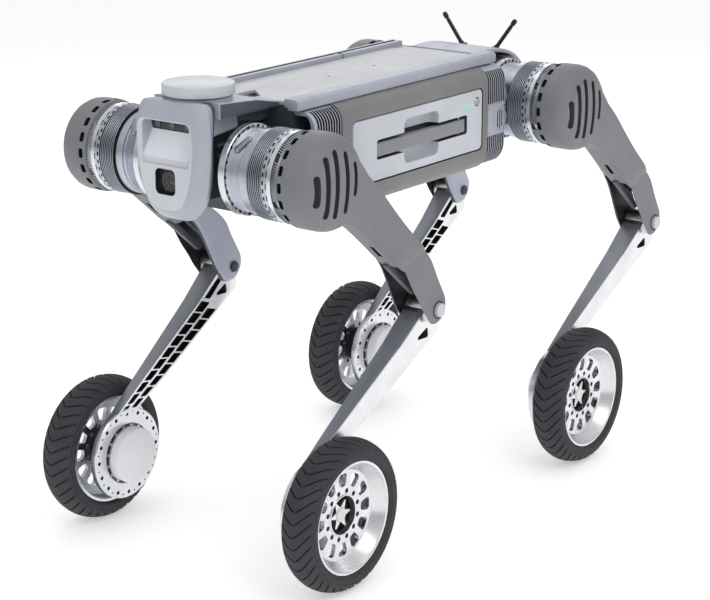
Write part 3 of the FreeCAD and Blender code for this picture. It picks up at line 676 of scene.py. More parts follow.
COVER_FRONT = [(322, 26), (300, 20.5), (256, 13), (228, 7), (200, 9), (150, 12), (100, 16),
               (80, 20.5), (68, 26)]
FRAME_FRONT = [(322, 25), (300, 18), (270, 7), (240, -2), (205, -5), (150, -4), (100, 0), (80, 8)]
FRAME_REAR = [(60, -46), (125, -38), (190, -37), (245, -46), (284, -48), (314, -38.5)]


def bowed_slot(place, low, high, bow, width):
    """Outline of a slot that bows backwards, with round ends."""
    middle = (low + high) / 2
    half = (high - low) / 2 - width / 2
    steps = 12
    spine = []
    for i in range(steps + 1):
        t = -1 + 2 * i / steps
        spine.append(Vector((place - bow * (1 - t * t) + bow / 2, middle + half * t)))
    left, right = [], []
    for i, spot in enumerate(spine):
        ahead = spine[min(i + 1, steps)] - spine[max(i - 1, 0)]
        side = Vector((-ahead.y, ahead.x)).normalized() * width / 2
        left.append(spot + side)
        right.append(spot - side)
    def cap(spot, first):
        return [spot + Matrix.Rotation(-pi * k / 8, 2) @ (first - spot) for k in range(1, 8)]
    return left + cap(spine[-1], left[-1]) + right[::-1] + cap(spine[0], right[0])


def make_thigh_cover():
    """Outer shell: domed over the motor, flat along the arm, stepped down at the knee."""
    def softness(p):
        return 27.0 - 17.0 * smooth_step(p.x, 10, 110) - 3.0 * smooth_step(p.x, 240, 280)

    def inner_softness(p):
        return 11.0 * smooth_step(p.x, 60, 100) * smooth_step(p.x, 260, 215)

    limb = Form()
    outline = thigh_outline(curve_through(COVER_FRONT)[1:-1])
    limb.slab(outline, SEAM, THIGH_OUTER - 0.4, "cover", "XZ", softness, inner_softness)
    lean = Vector((1, 0, 0.50)).normalized()
    for step in range(4):
        distance = CREASE[0] + (CREASE[1] - CREASE[0]) * step / 3
        limb.score(Vector((distance, 0, 0)), lean)

    def step_down(co):
        along_arm = (co - Vector((CREASE[0], 0, 0))).dot(lean)
        drop = KNEE_STEP * min(max(along_arm / ((CREASE[1] - CREASE[0]) * lean.x), 0), 1) ** 2
        if co.y > SEAM + 8:
            co.y -= drop
        return co

    limb.press(step_down)
    form = Form()
    form.add(limb, THIGH_AT_HIP)
    cutters = Form()
    for *row, depth in DOME_SLOTS:
        cutters.slab(bowed_slot(*row), THIGH_OUTER - depth, THIGH_OUTER + 5, "recess")
    pocket = Form()
    pocket.slab(box_outline((152, 182), (5, 30), 3), 211, 218, "black")
    cutters.add(pocket, THIGH_AT_HIP)
    cutters.add(fork_room(), THIGH_AT_HIP)
    form.carve(cutters)
    return form


def fork_room():
    """The space inside the knee fork; its walls are painted black, a painted shade for the dark cavity."""
    gap = Form()
    gap.slab(fillet([(250, -40, 6), (300, -38, 10), (372, -34, 0), (372, 45, 0), (206, 45, 0),
                     (212, 12, 4), (224, -20, 10)]), THIGH_INNER + 0.4, 226.4, "black")
    return gap


def make_thigh_frame():
    """Inner shell: slotted rim round the motor and a pale arm with the fork's inner wall."""
    rim = Form()
    segments = 144
    profile = [(0, THIGH_INNER), (64.2, THIGH_INNER), (66.0, 178.8), (67.6, 180.4), (68.6, 182.6),
               (69.0, 184.6), (69.0, 190.6), (0, 190.6)]
    rim.turn(profile, "cover", count=segments)
    slots = Form()
    slot = Form()
    slot.slab(box_outline((-7.2, 7.2), (181.8, 189.0), 3.0),
              63.0, 75.0, "black", "XY")
    for index in range(18):
        slots.add(slot, spin(TURN * (index + 0.5) / 18))
    rim.carve(slots)
    arm = Form()
    outline = thigh_outline(curve_through(FRAME_FRONT)[1:-1], FRAME_REAR)
    lower = [p for p in outline if p.x > 78]
    start = [Vector((78, 9)), Vector((78, -40))]
    arm.slab(lower + start, THIGH_INNER - 6.0, SEAM - 0.2, "thigh_light", "XZ", 0.3, 6.0)
    arm.repaint("cover", lambda c, n: c.x < 203 and c.y > THIGH_INNER + 3 and n.y > -0.5)
    arm.repaint("slate", lambda c, n: c.x > 216 and c.y > THIGH_INNER - 3 and n.y > -0.5)
    arm.carve(fork_room())
    return rim, arm


def make_knee_bolt():
    """Round bolt head in a dark recess on the outer face, and its nut on the inner face."""
    form = Form()
    face = THIGH_OUTER - KNEE_STEP
    form.turn([(0, face - 6), (13.6, face - 6), (13.6, face + 0.3), (12.4, face + 0.6),
               (12.0, face - 1.0), (0, face - 1.0)], "black", count=48)
    form.turn([(0, face - 5), (10.6, face - 5), (10.6, face + 4.6), (9.6, face + 5.8), (0, face + 6)],
              "shell_light", count=48)
    nut = circle(0, 0, 9.2, 6)
    form.slab(nut, 168.2, 173.0, "dark", "XZ", 0.8)
    place = shift(THIGH_AT_HIP @ Vector((THIGH.length, 0, 0)))
    knee = Form()
    knee.add(form, place)
    knee.turn(ring_profile(49, 186, 226), "turned", count=64)
    return knee


def make_fork_links():
    """The slate drive rods that run inside the arm to the knee."""
    links = Form()
    for low, high, height in ((-14, -3, 190), (3, 13, 205)):
        links.slab(fillet([(206, low, 3), (298, low - 5, 5), (298, high - 5, 5), (206, high, 3)]),
                   height, height + 9, "slate", "XZ", 1.5)
    return Form().add(links, THIGH_AT_HIP)


# ------------------------------------------------------------------ shin

SHIN_INNER = 179.4
BLADE_TOP = 218.0
SHIN_AT_KNEE = frame_mm(Vector((0, 0, 0)), SHIN)
REACH = SHIN.length
FRONT_EDGE = [(20, 17), (86, 23.4), (263, 54), (322, 63)]
REAR_EDGE = [(222, 11), (32, -34)]


def edge_height(line, s):
    """Height of a broken line at s."""
    points = sorted(line)
    for one, two in zip(points, points[1:]):
        if s <= two[0]:
            return one[1] + (two[1] - one[1]) * (s - one[0]) / (two[0] - one[0])
    return points[-1][1]


def make_shin():
    """The blade between the knee and the wheel: ribbed inside, smooth and bright outside."""
    blade = Form()
    outline = fillet([(-6, 20, 0), (20, 17, 4), (86, 23.4, 30), (263, 54, 40), (322, 63, 0),
                      (322, 40, 3), (222, 11, 30), (32, -34, 6), (16, -36, 5), (-14, -15, 0)])
    blade.slab(outline, SHIN_INNER, BLADE_TOP, "rim", "XZ", 2.0, 0.8)
    taper = (BLADE_TOP - 192.0) / REACH

    def thin_out(co):
        share = (co.y - SHIN_INNER) / (BLADE_TOP - SHIN_INNER)
        co.y -= share * taper * max(co.x, 0)
        return co

    blade.press(thin_out)
    # painted reflection: the faces along the blade's front edge are painted a darker grey-blue, standing in for
    # the dark surroundings they reflect
    blade.repaint("blade_front_reflection", lambda c, n: n.z > 0.55 and c.x > 18)
    cutters = Form()
    bays = 10
    start, end = 74.0, 316.0
    for row in range(2):
        for bay in range(bays):
            a = start + (end - start) * bay / bays
            b = start + (end - start) * (bay + 1) / bays
            corners = []
            for s, upper in ((a + 1.4, False), (b - 1.4, False), (b - 1.4, True), (a + 1.4, True)):
                lean = 5.0 if upper else -5.0
                top = edge_height(FRONT_EDGE, s) - 3.0
                bottom = edge_height(REAR_EDGE + [(322, 40)], s) + 3.0
                level = (row + (1 if upper else 0)) / 2
                gap = 0.9 if (row == 0) == upper else 0.0
                height = bottom + (top - bottom) * level + (gap if row else -gap)
                corners.append((s + lean, height, 1.5))
            cutters.slab(fillet(corners), SHIN_INNER - 3, SHIN_INNER + 9.5, "black")
    # open window and pocket below the knee
    cutters.slab(fillet([(26, -10, 3), (60, 0, 3), (36, -24, 3)]), 170, 230, "dark")
    cutters.slab(fillet([(66, 4, 2), (74, 17, 2), (30, 12, 2), (30, 2, 2)]), SHIN_INNER - 3,
                 SHIN_INNER + 10, "black")
    blade.carve(cutters)
    lug = Form()
    lug.turn([(9, 179.4), (20, 179.4), (22, 181), (22, 224), (20.5, 226), (9, 226)], "rim",
             count=64)
    blade.add(lug)
    ring = Form()
    ring.turn([(48.2, 179.3), (70.5, 179.3), (72, 180.6), (72, 188.4), (70.5, 189.9), (48.2, 189.9)],
              "bright", count=120)
    holes = Form()
    hole = Form()
    hole.turn(ring_profile(3.1, -4, 2.4), "black", count=20)
    dot = Form()
    dot.turn(ring_profile(1.4, -4, 2.0), "black", count=12)
    around(holes, hole, 16, 63.5, SHIN_INNER)
    around(holes, dot, 16, 66.0, SHIN_INNER, pi / 16)
    ring.carve(holes)
    blade.add(ring, shift((REACH, 0, 0)))
    return Form().add(blade, SHIN_AT_KNEE)


# ------------------------------------------------------------------ wheel

WHEEL_Y = AXLE.y


def make_wheel_motor():
    """Polished drum with a plain white cap, inside the shin's ring."""
    form = Form()
    form.turn([(0, 159.8), (39.5, 159.8), (42.0, 160.6), (43.2, 162.4), (43.6, 164.5), (43.6, 175.5),
               (42.6, 176.2), (0, 176.2)], "motor_white", count=96)
    form.turn([(30, 176.4), (41.6, 176.4), (41.8, 178.0), (43.4, 178.6), (43.4, 190), (30, 190)],
              "bright", count=96)
    ribs = Form()
    ribs.slab(box_outline((-2.2, 2.2), (-6, 6)), 43.0, 46.8, "bright",
              "XY", 0.8)
    for index in range(16):
        turn = spin(TURN * (index + 0.5) / 16)
        form.add(ribs, turn @ shift((0, 184.5, 0)))
    form.turn([(30, 190.4), (59, 190.4), (60, 191.4), (60, 193.8), (58.5, 194.8), (46, 195),
               (42, 197.8), (0, 197.8)], "turned", count=96)
    around(form, bolt_head(2.6, 1.6), 12, 53, 194.2)
    return form


def make_rim():
    """Machined rim: lips, conical dish, windowed face and a star cap over a bore floor painted black, a painted
    shade for the deep bore.
    """
    out, inn = WHEEL_Y + 23.7, WHEEL_Y - 23.7
    rim = Form()
    face = 238.0
    rim.turn([(28.5, face), (64.2, face), (65.6, face + 0.9), (67.2, face + 0.9), (79.0, out - 3.2),
              (80.2, out - 0.6), (81.4, out), (83.8, out), (84.6, out - 0.8), (84.6, out - 1.8),
              (81.9, out - 2.4), (81.9, inn + 2.4), (84.6, inn + 1.8), (84.6, inn + 0.6),
              (83.8, inn), (80.0, inn), (78.6, inn + 1.2), (76.4, 227.0), (63, 231.2), (28.5, 231.2)],
             "rim", count=144, looks={16: "turned", 17: "turned"})
    cutters = Form()
    for index in range(12):
        turn = spin(TURN * index / 12)
        half = spin(TURN * (index + 0.5) / 12)
        # the window walls take the darker turned metal: machined walls, darkened as painted shade inside the
        # windows
        window = Form()
        window.slab(fillet([(43.0, -6.2, 4.8), (62.8, -11.2, 5.5), (62.8, 11.2, 5.5), (43.0, 6.2, 4.8)]),
                    225, 245, "turned")
        cutters.add(window, turn)
        hole = Form()
        hole.turn(ring_profile(3.8, 225, 245), "slate", (36.0, 0, 0), "Y", 24)
        cutters.add(hole, half)
    rim.carve(cutters)
    # raised lip round the bore
    rim.turn([(28.4, face - 0.6), (30.8, face - 0.6), (30.8, face + 1.0), (30.2, face + 1.5),
              (29.0, face + 1.5), (28.4, face + 0.9)], "bright", count=96)
    # bore floor, star cap and hub sleeve; the bore floor is painted black, a painted shade for the deep bore seen
    # between the star's arms
    rim.turn([(0, 203), (29.2, 203), (29.2, 231.0), (27.0, 231.0), (27.0, 226), (0, 226)], "black",
             count=72)
    arms = []
    for index in range(12):
        radius = 28.0 if index % 2 == 0 else 11.0
        angle = pi * index / 6
        arms.append((radius * cos(angle), radius * sin(angle), 2.0))
    rim.slab(fillet(arms), 226.8, 234.5, "rim", "XZ", 1.2)
    rim.turn([(0, 234), (11.6, 234), (11.6, 235.4), (10.6, 236.4), (0, 236.6)], "motor_white", count=6)
    rim.turn(ring_profile(29.6, 199.4, 203, 10.5), "turned", count=72)
    return rim


TREADS = 38
TREAD_DEPTH = 3.4
# (distance across the tyre from its middle, radius over the rim lip), from crown to bead
TYRE_HALF = [(0.0, 29.0), (4.0, 28.8), (8.0, 28.1), (13.0, 26.8), (17.5, 25.0), (21.4, 22.8),
             (24.4, 20.2), (26.6, 16.6), (27.8, 12.0), (28.1, 8.0), (27.9, 5.0), (26.6, 2.2),
             (24.0, 0.5), (21.6, 0.4)]
TYRE_SECTION = [(-across, rise) for across, rise in TYRE_HALF[:0:-1]] + TYRE_HALF
LIP_R = 84.6


def make_tyre():
    """A ring of curved chevron blocks: long on the outer half, short on the inner half."""
    form = Form()
    tag = form.look("rubber")
    pitch = TURN / TREADS
    stops = [0.0, 0.035, 0.20, 0.235, 0.60]
    rows = []
    for across, rise in TYRE_SECTION:
        reach = abs(across) / 28.1
        swing = 1.55 * reach ** 1.5 if across > 0 else 0.95 * reach ** 1.2
        centre_rib = smooth_step(abs(across), 1.0, 3.4)
        depth = TREAD_DEPTH * centre_rib * (1.0 if rise > 17 else 0.0)
        width = 1.0 - 0.35 * (1 - reach)
        ring = []
        for tread_index in range(TREADS):
            for index, stop in enumerate(stops):
                angle = (tread_index + stop * (width if index < 4 else 1) + swing) * pitch
                radius = LIP_R + rise - (depth if index in (1, 2) else 0)
                ring.append(form.mesh.verts.new((radius * cos(angle), WHEEL_Y + across,
                                                 radius * sin(angle))))
        rows.append(ring)
    bore = []
    for across in (21.4, -21.4):
        ring = []
        for index in range(len(rows[0])):
            spot = rows[-1][index].co if across > 0 else rows[0][index].co
            angle = math.atan2(spot.z, spot.x)
            ring.append(form.mesh.verts.new((82.3 * cos(angle), WHEEL_Y + across,
                                             82.3 * sin(angle))))
        bore.append(ring)
    loops = rows + bore
    for one, two in zip(loops, loops[1:] + loops[:1]):
        form.join(one, two, tag)
    # thin bead lines on both sidewalls
    for side in (1, -1):
        for rise in (4.6, 12.4):
            y = WHEEL_Y + side * 27.9
            r = LIP_R + rise
            form.turn([(r - 0.5, y - 0.6), (r + 0.5, y - 0.6), (r + 0.3, y + side * 0.25),
                       (r - 0.3, y + side * 0.25)], "rubber", count=120)
    return form


def build_legs():
    emit_legs(make_hip_housing(), "hip_shell", "hip", "hip_pitch", "hip_housing", "machined", True)
    emit_legs(make_hip_motor(), "hip_can", "hip", "hip_pitch", "hip_motor", "machined")
    emit_legs(make_thigh_cover(), "thigh_outer_shell", "thigh", "hip_pitch", "thigh_cover", "cover",
              sharp=24)
    rim, arm = make_thigh_frame()
    inner = Form()
    inner.add(arm, THIGH_AT_HIP)
    emit_legs(inner.add(rim), "thigh_inner_shell", "thigh", "hip_pitch", "thigh_frame", "shell")
    emit_legs(make_knee_bolt(), "knee_pin", "thigh", "hip_pitch", "knee_drive", "steel")
    emit_legs(make_fork_links(), "knee_links", "thigh", "hip_pitch", None, "dark")
    emit_legs(make_shin(), "shin_blade", "shin", "knee", "shin", "polished")
    emit_legs(make_wheel_motor(), "hub_motor", "shin", "wheel_spin", "wheel_motor", "motor")
    emit_legs(make_rim(), "rim", "wheel", "wheel_spin", "wheel_rim", "polished")
    emit_legs(make_tyre(), "tread", "wheel", "wheel_spin", "tyre", "tyre", sharp=28)


build_legs()


# ------------------------------------------------------------------ body covers

SIDE_Y, COVER_TOP, COVER_LOW = 125.0, 671.0, 505.0
COVER_X = (-206.0, 175.0)
FRONT_VENT_X = (176.0, 239.0)
REAR_VENT_X = (-258.0, -207.0)
ROUND_VENT = (-241, 584)
PANEL_X = (-190.0, 150.0)
PANEL_Z = (544.0, 641.0)


def wrap_curve(offset, step=9.0):
    """The side wrap's section, from the top edge outwards and down to the bottom edge."""
    top, low, out = COVER_TOP - offset, COVER_LOW + offset, SIDE_Y - offset
    corners = [(87, top, 0), (out, top, 24 - offset / 2), (out, low, 36 - offset / 2), (87, low, 0)]
    outline = fillet(corners, step)
    start = min(range(len(outline)), key=lambda i: abs(outline[i].x - 87) + abs(outline[i].y - top))
    return outline[start:] + outline[:start]


def spread_out(line, gap):
    """The same open line with points no further apart than a gap."""
    dense = [line[0]]
    for one, two in zip(line, line[1:]):
        pieces = max(1, math.ceil((two - one).length / gap))
        dense += [one.lerp(two, k / pieces) for k in range(1, pieces + 1)]
    return dense


def wrap_shell(x_lines, offset, wall, look, gap=None):
    """A bent wall along X: rings of section points at each x line, open grid made solid."""
    form = Form()
    tag = form.look(look)
    outer = wrap_curve(offset)
    if gap:
        outer = spread_out(outer, gap)
    inner = [Vector((max(p.x - wall, 87.0), p.y)) for p in outer]
    for spot in inner:
        spot.y = min(max(spot.y, COVER_LOW + offset + wall), COVER_TOP - offset - wall)
    loop = outer + inner[::-1]
    rings = [form.ring([(x, p.x, p.y) for p in loop]) for x in x_lines]
    for one, two in zip(rings, rings[1:]):
        form.join(one, two, tag)
    count = len(outer)
    for ring in (rings[0], rings[-1]):
        back = ring[count:][::-1]
        form.join(ring[:count], back, tag, closed=False)
    return form


def soft_ends(low, high, radius):
    """Lines along X with two close ones at each end."""
    return [low, low + radius, high - radius, high]


def make_side_covers():
    left = wrap_shell(soft_ends(*COVER_X, 1.5), 0.0, 4.0, "wrap")
    right = Form(left.looks).add(left, MIRROR)
    mouth = Form()
    margin = 1.6
    mouth.slab(box_outline((PANEL_X[0] - margin, PANEL_X[1] + margin),
                           (PANEL_Z[0] - margin, PANEL_Z[1] + margin), 10.0), 108, 135, "black")
    left.carve(mouth)
    # plain service hatch on the right side
    hatch = Form()
    hatch.slab(box_outline((-150, 120), (548, 636), 12.0), 122.6, 125.7, "wrap", "XZ", 0.7)
    right.add(hatch, MIRROR)
    return left.add(right)


VENT_RIB, VENT_OFFSET, VENT_WALL, VENT_DEPTH = 2.0, 2.0, 6.0, 4.5


def vent_lines(low, high, columns, pitch):
    """Lines along X that leave columns of holes with ribs between them."""
    lines = [low]
    for index in range(columns):
        lines += [low + VENT_RIB + index * pitch, low + (index + 1) * pitch]
    return lines + [high]


def make_vent(low, high, columns, zones, closed_columns=()):
    """A vented cover: columns of upright slots in the given height zones."""
    pitch = (high - low - VENT_RIB) / columns
    lines = vent_lines(low, high, columns, pitch)
    form = wrap_shell(lines, VENT_OFFSET, VENT_WALL, "shell", 2.9)
    form.tidy()

    def hole(centre, normal):
        column = (centre.x - low - VENT_RIB) / pitch
        number = math.floor(column)
        inside = column - number < (pitch - VENT_RIB) / pitch
        open_column = 0 <= number < columns and number not in closed_columns
        outwards = normal.y > 0.25 and centre.y > 101
        return inside and open_column and outwards and any(a < centre.z < b for a, b in zones)

    form.sink(hole, VENT_DEPTH, "black", 0.5)
    return form


def make_side_vents():
    front = make_vent(*FRONT_VENT_X, 10, [(520, 566), (572, 618), (624, 668)], (9,))
    # two round sockets on the shoulder
    for x, z in ((228, 655), (196, 657)):
        front.turn(ring_profile(3.2, 0, 1.2), "black", (x, 117.2, z), "Y", 24)
    rear = make_vent(*REAR_VENT_X, 9, [(514, 558), (612, 664)])
    panel = Form()
    panel.slab(box_outline((REAR_VENT_X[0] + 1, REAR_VENT_X[1] - 2), (561, 609), 3.0), 118, 124.4,
               "shell", "XZ", 1.0)
    slits = Form()
    for offset, half in ((-6, 13), (0, 16), (6, 13)):
        x = ROUND_VENT[0] + offset
        slits.slab(box_outline((x - 2, x + 2), (ROUND_VENT[1] - half, ROUND_VENT[1] + half), 1.9),
                   121, 127, "black")
    panel.carve(slits)
    panel.turn(ring_profile(19.0, 124.0, 124.8, 17.5), "shell",
               (ROUND_VENT[0], 0, ROUND_VENT[1]), "Y", 48)
    for x in (-254, -212):
        for z in (566, 604):
            panel.add(bolt_head(1.7, 0.4), shift((x, 124.2, z)))
    rear.add(panel)
    return both(front.add(rear))


# ------------------------------------------------------------------ battery

GRIP_X = (-141.0, 91.0)
GRIP_Z = (579.5, 600.0)
BUTTON_AT = (-174, 0, 622)


def make_battery_panel():
    panel = Form()
    panel.slab(box_outline(PANEL_X, PANEL_Z, 9.0), 96.0, SIDE_Y, "shell_light", "XZ", 2.2, 0.5)
    cutters = Form()
    cutters.slab(box_outline((-147, 91.5), (575.5, 605.5), 4.0), 99, 130, "slate")
    panel.carve(cutters)
    scoops = Form()
    scoops.slab(box_outline((-69, 22), (557, 626), 11.0), 106, 130, "shell_light", "XZ", 0, 9.0)
    panel.carve(scoops)
    panel.repaint("slate", lambda c, n: 576 < c.z < 605 and c.y < 112)
    seat = Form()
    seat.turn(ring_profile(7.6, 117, 130), "shell", BUTTON_AT, "Y", 40)
    panel.carve(seat)
    grip = Form()
    grip.slab(box_outline(GRIP_X, GRIP_Z, 1.5), 112.5, 124.4, "grip", "XZ", 1.2)
    grip.slab(box_outline((-141, -127), GRIP_Z, 1.5), 98, 113, "slate", "XZ", 0.5)
    for x in (-134, 84):
        grip.slab(box_outline((x - 4, x + 4), (575.2, 580.5), 0.5), 108, 119, "steel", "XZ", 0.5)
        grip.slab(box_outline((x - 4, x + 4), (599.0, 605.8), 0.5), 108, 119, "steel", "XZ", 0.5)
    return panel.add(grip)


def make_lights():
    lamp = Form()
    for index in range(4):
        x = -136.5 - 8 * index
        lamp.slab(fillet([(x - 1.1, 614.6, 0.4), (x + 0.7, 614.6, 0.4), (x + 1.2, 620.0, 0.4),
                          (x - 0.6, 620.0, 0.4)]), 123.2, 125.2, "green", "XZ", 0.3)
    return lamp


def make_button():
    profile = [(0, 119.2), (6.6, 119.2), (6.6, 125.0), (6.1, 125.6), (5.3, 125.6), (4.9, 124.6),
               (4.2, 124.4), (0, 124.2)]
    return Form().turn(profile, "bright", BUTTON_AT, "Y", 48, {5: "steel", 6: "shell"})


# ------------------------------------------------------------------ top

def make_top_plate():
    plate = Form()
    plate.slab(fillet([(240, -73, 2), (240, -22, 1), (196, -22, 2), (226, 14, 2), (240, 14, 1),
                       (240, 73, 2), (226, 79, 3), (-225, 79, 1), (-225, -79, 1), (226, -79, 3)]),
               675.2, 681.0, "deck", "XY", 0.8)
    screws = bolt_head(3.0, 0.5)
    upright = spin(radians(90), "X")
    for x, y in ((193.7, 68.7), (193.7, -68.7), (-210, 68.7), (-210, -68.7)):
        plate.add(screws, shift((x, y, 680.9)) @ upright)
    holes = Form()
    for x in (46, -70):
        holes.turn(ring_profile(2.5, 670, 690), "black", (x, 0, 0), "Z", 24)
    plate.carve(holes)
    for x in (46, -70):
        plate.turn(ring_profile(4.2, 680.6, 681.2, 2.6), "steel", (x, 0, 0), "Z", 24)
    # black floor under the notch, with a small clip on it
    plate.slab(box_outline((197, 238), (-20, 12), 0.5), 671, 674.8, "black", "XY", 0.5)
    plate.slab(box_outline((226, 232), (-12, -4), 0.8), 674.6, 679, "slate", "XY", 0.8)
    return plate


def make_rear_cover():
    return Form().slab(box_outline((-257.6, -226), (-79, 79), 2.0), 675.2, 679.5, "deck", "XY", 0.8)


def rail(low, high, grooved):
    form = Form()
    form.slab(fillet([(80.2, 675.4, 0), (86.4, 675.4, 0), (86.4, 671.5, 0), (104.8, 671.5, 2),
                      (104.8, 684.5, 2), (100.5, 688, 3), (80.2, 688, 1.5)]), low, high, "shell",
              "YZ", 1.0)
    if grooved:
        groove = Form()
        groove.slab(box_outline((88, 95), (684, 700)), low - 5, high + 5,
                    "slate", "YZ")
        form.carve(groove)
    return form


def make_rails():
    form = rail(-257.6, 253.6, False)
    for low, high in ((200, 240), (-92, 182), (-257.6, -98)):
        form.add(rail(low, high, True), MIRROR)
    return form


def build_body_covers():
    emit_body(make_side_covers(), "side_wraps", ["side_covers"], "cover")
    emit_body(make_side_vents(), "vented_shoulders", ["side_vents"], "shell", sharp=50)
    emit_body(make_battery_panel(), "battery_front", ["battery_panel"], "shell", "battery")
    emit_body(make_lights(), "charge_lights", ["status_lights"], "green", "battery")
    emit_body(make_button(), "button_cap", ["power_button"], "steel", "button")
    emit_body(make_top_plate(), "deck_plate", ["top_plate"], "shell")
    emit_body(make_rear_cover(), "deck_end_plate", ["rear_top_cover"], "shell")
    emit_body(make_rails(), "deck_rails", ["top_rails"], "shell")


build_body_covers()


# ------------------------------------------------------------------ head, neck and tail

PUCK_X = 346
FACE_X, FACE_EDGE, BROW_X, NAPE_X = 420.0, 3.5, 398.0, 374.0
# half outlines of the head as (half width, height), from the crown's middle to the chin's middle
FACE_HALF = [(0, 677), (36, 677), (46, 675), (51.5, 668), (54, 650), (54, 632), (51, 603),
             (44, 575), (33, 553), (18, 543.5), (0, 542)]
BROW_HALF = [(0, 697), (42, 697), (56, 695), (63, 686), (66.5, 660), (66.5, 636), (64, 600),
             (57, 566), (44, 541), (26, 530), (0, 528.3)]
NAPE_HALF = [(0, 696.8), (40, 696.8), (50, 694), (54, 685), (52, 660), (50, 636), (50, 600),
             (45, 568), (35, 545), (22, 536), (0, 534)]


def head_section(half, shrink=0.0):
    """A closed head outline from its half, optionally moved inwards."""
    right = curve_through(half, 5)
    left = [Vector((-p.x, p.y)) for p in right[-2:0:-1]]
    outline = right + left
    turned = facing_up(outline)
    moved = inset(turned, [shrink] * len(turned)) if shrink else turned
    return moved


def make_head():
    form = Form()
    tag = form.look("shell")
    sections = []
    for turn in (0.0, 0.35, 0.7, 1.0):
        lift = FACE_EDGE * (1 - cos(turn * pi / 2))
        pull = FACE_EDGE * (1 - sin(turn * pi / 2))
        sections.append((FACE_X - lift, head_section(FACE_HALF, pull)))
    face, brow = head_section(FACE_HALF), head_section(BROW_HALF)
    nape = head_section(NAPE_HALF)
    for share in (0.15, 0.4, 0.65, 0.85, 0.95):
        swell = sin(share * pi / 2)
        outline = [a.lerp(b, swell * 0.55 + share * 0.45) for a, b in zip(face, brow)]
        edge = FACE_X - FACE_EDGE
        sections.append((edge + (BROW_X - edge) * share, outline))
    sections.append((BROW_X, brow))
    for share in (0.5, 1.0):
        outline = [a.lerp(b, share) for a, b in zip(brow, nape)]
        sections.append((BROW_X - 2 + (NAPE_X - BROW_X + 2) * share, outline))
    sections.append((NAPE_X - 1.2, head_section(NAPE_HALF, 1.5)))
    rings = [form.ring([(x, p.x, p.y) for p in outline]) for x, outline in sections]
    for one, two in zip(rings, rings[1:]):
        form.join(one, two, tag)
    form.face(rings[0], form.look("shell_light"))
    form.face(rings[-1][::-1], tag)
    form.repaint("slate", lambda c, n: c.x < 380)
    recess = Form()
    mouth = fillet([(-45, 672, 9), (45, 672, 9), (44, 610, 7), (-44, 610, 7)])
    floor = fillet([(-40, 670, 3), (40, 670, 3), (38, 656, 2), (-38, 656, 2)])
    recess.hull([(421.0, p.x, p.y) for p in mouth] + [(401.5, p.x, p.y) for p in floor], "shell")
    # painted light: the recess's sloped lower face, which faces up and forward, is painted pale
    recess.repaint("glow", lambda c, n: n.z < -0.3)
    recess.repaint("black", lambda c, n: n.x < -0.97)
    form.carve(recess)
    lip = Form()
    wide = fillet([(-49.5, 675.5, 11), (49.5, 675.5, 11), (46.5, 609.5, 8), (-46.5, 609.5, 8)])
    lip.hull([(422, p.x, p.y) for p in wide] + [(417.2, p.x, p.y) for p in mouth], "shell_light")
    form.carve(lip)
    window = Form()
    window.slab(box_outline((-18.5, 18.5), (568, 605), 8.0), 402, 430, "black", "YZ")
    form.carve(window)
    return form


def make_depth_camera():
    bar = Form()
    bar.slab(box_outline((-38.5, 38.5), (657.5, 669), 2.5), 396, 402.4, "dark", "YZ", 0.8)
    for y in (-27, 0, 27):
        bar.turn([(0, 402.2), (5.0, 402.2), (5.0, 403.2), (3.8, 403.2), (3.2, 402.5), (0, 402.8)],
                 "lens", (0, y, 663.3), "X", 32, {1: "barrel", 2: "barrel"})
    return bar


def make_lens():
    form = Form()
    form.turn([(0, 396), (15.5, 396), (15.5, 404.5), (14.4, 405.5), (13.6, 411.4), (12.6, 412.0),
               (10.8, 412.0), (9.0, 409.4), (7.0, 409.0), (5.6, 410.0), (2.8, 410.9), (0, 411.1)],
              "barrel", (0, 0, 586.5), "X", 64, {6: "recess", 8: "lens", 9: "lens", 10: "lens"})
    form.slab(box_outline((-17.8, 17.8), (569, 604), 7.0), 400, 403.5, "barrel", "YZ", 0.8)
    return form


def make_window():
    return Form().slab(box_outline((-18.2, 18.2), (568.4, 604.6), 7.6), 413.2, 415.0, "glass",
                       "YZ", 0.6)


def make_neck():
    form = Form()
    form.slab(fillet([(240.8, 673.7, 0), (372, 673.7, 0), (372, 696.8, 0), (292, 691, 20),
                      (240.8, 680.5, 0)]), -61.8, 61.8, "shell", "XZ", 3.0)
    form.repaint("slate", lambda c, n: c.x < 372 and abs(n.y) > 0.8)
    form.slab(fillet([(312, 652, 6), (372, 646, 0), (372, 690, 0), (318, 690, 2)]), -46, 46, "shell",
              "XZ", 4.0)
    form.slab(circle(PUCK_X, 0, 48, 64), 691, 699.3, "shell", "XY", 0.8)
    form.slab(fillet([(240.8, 656, 0), (262, 652, 3), (330, 664, 6), (372, 664, 0), (372, 675, 0),
                      (240.8, 675, 0)]), -42, 42, "slate", "XZ", 1.5)
    # black core and side blocks under the neck: painted shadow, dark blocks standing in for the shaded hollows
    # between the head and the body
    form.slab(box_outline((240.8, 372), (557, 668), 2), -20.5, 20.5,
              "black", "XZ", 1.0)
    for side in (1, -1):
        form.slab(box_outline((271.5, 372), (557, 668), 3),
                  *sorted((side * 20.4, side * 41.8)), "black", "XZ", 2.0)
        for z in (585, 600, 615, 630):
            form.slab(box_outline((286, 356), (z, z + 5), 2.4), *sorted((side * 41.0, side * 42.0)),
                      "slate", "XZ", 0.4)
    return form


def make_puck():
    profile = [(0, 699.8), (49.5, 699.8), (49.5, 701.4), (51.3, 701.8), (52, 702.8), (52, 715.6),
               (51.4, 716.8), (50.2, 717.4), (0, 717.5)]
    return Form().turn(profile, "shell_light", (PUCK_X, 0, 0), "Z", 144, {1: "slate"})


TAIL_LINE = [(-258.5, 681), (-305, 682), (-345, 677), (-378, 665), (-402, 646), (-411.6, 622)]


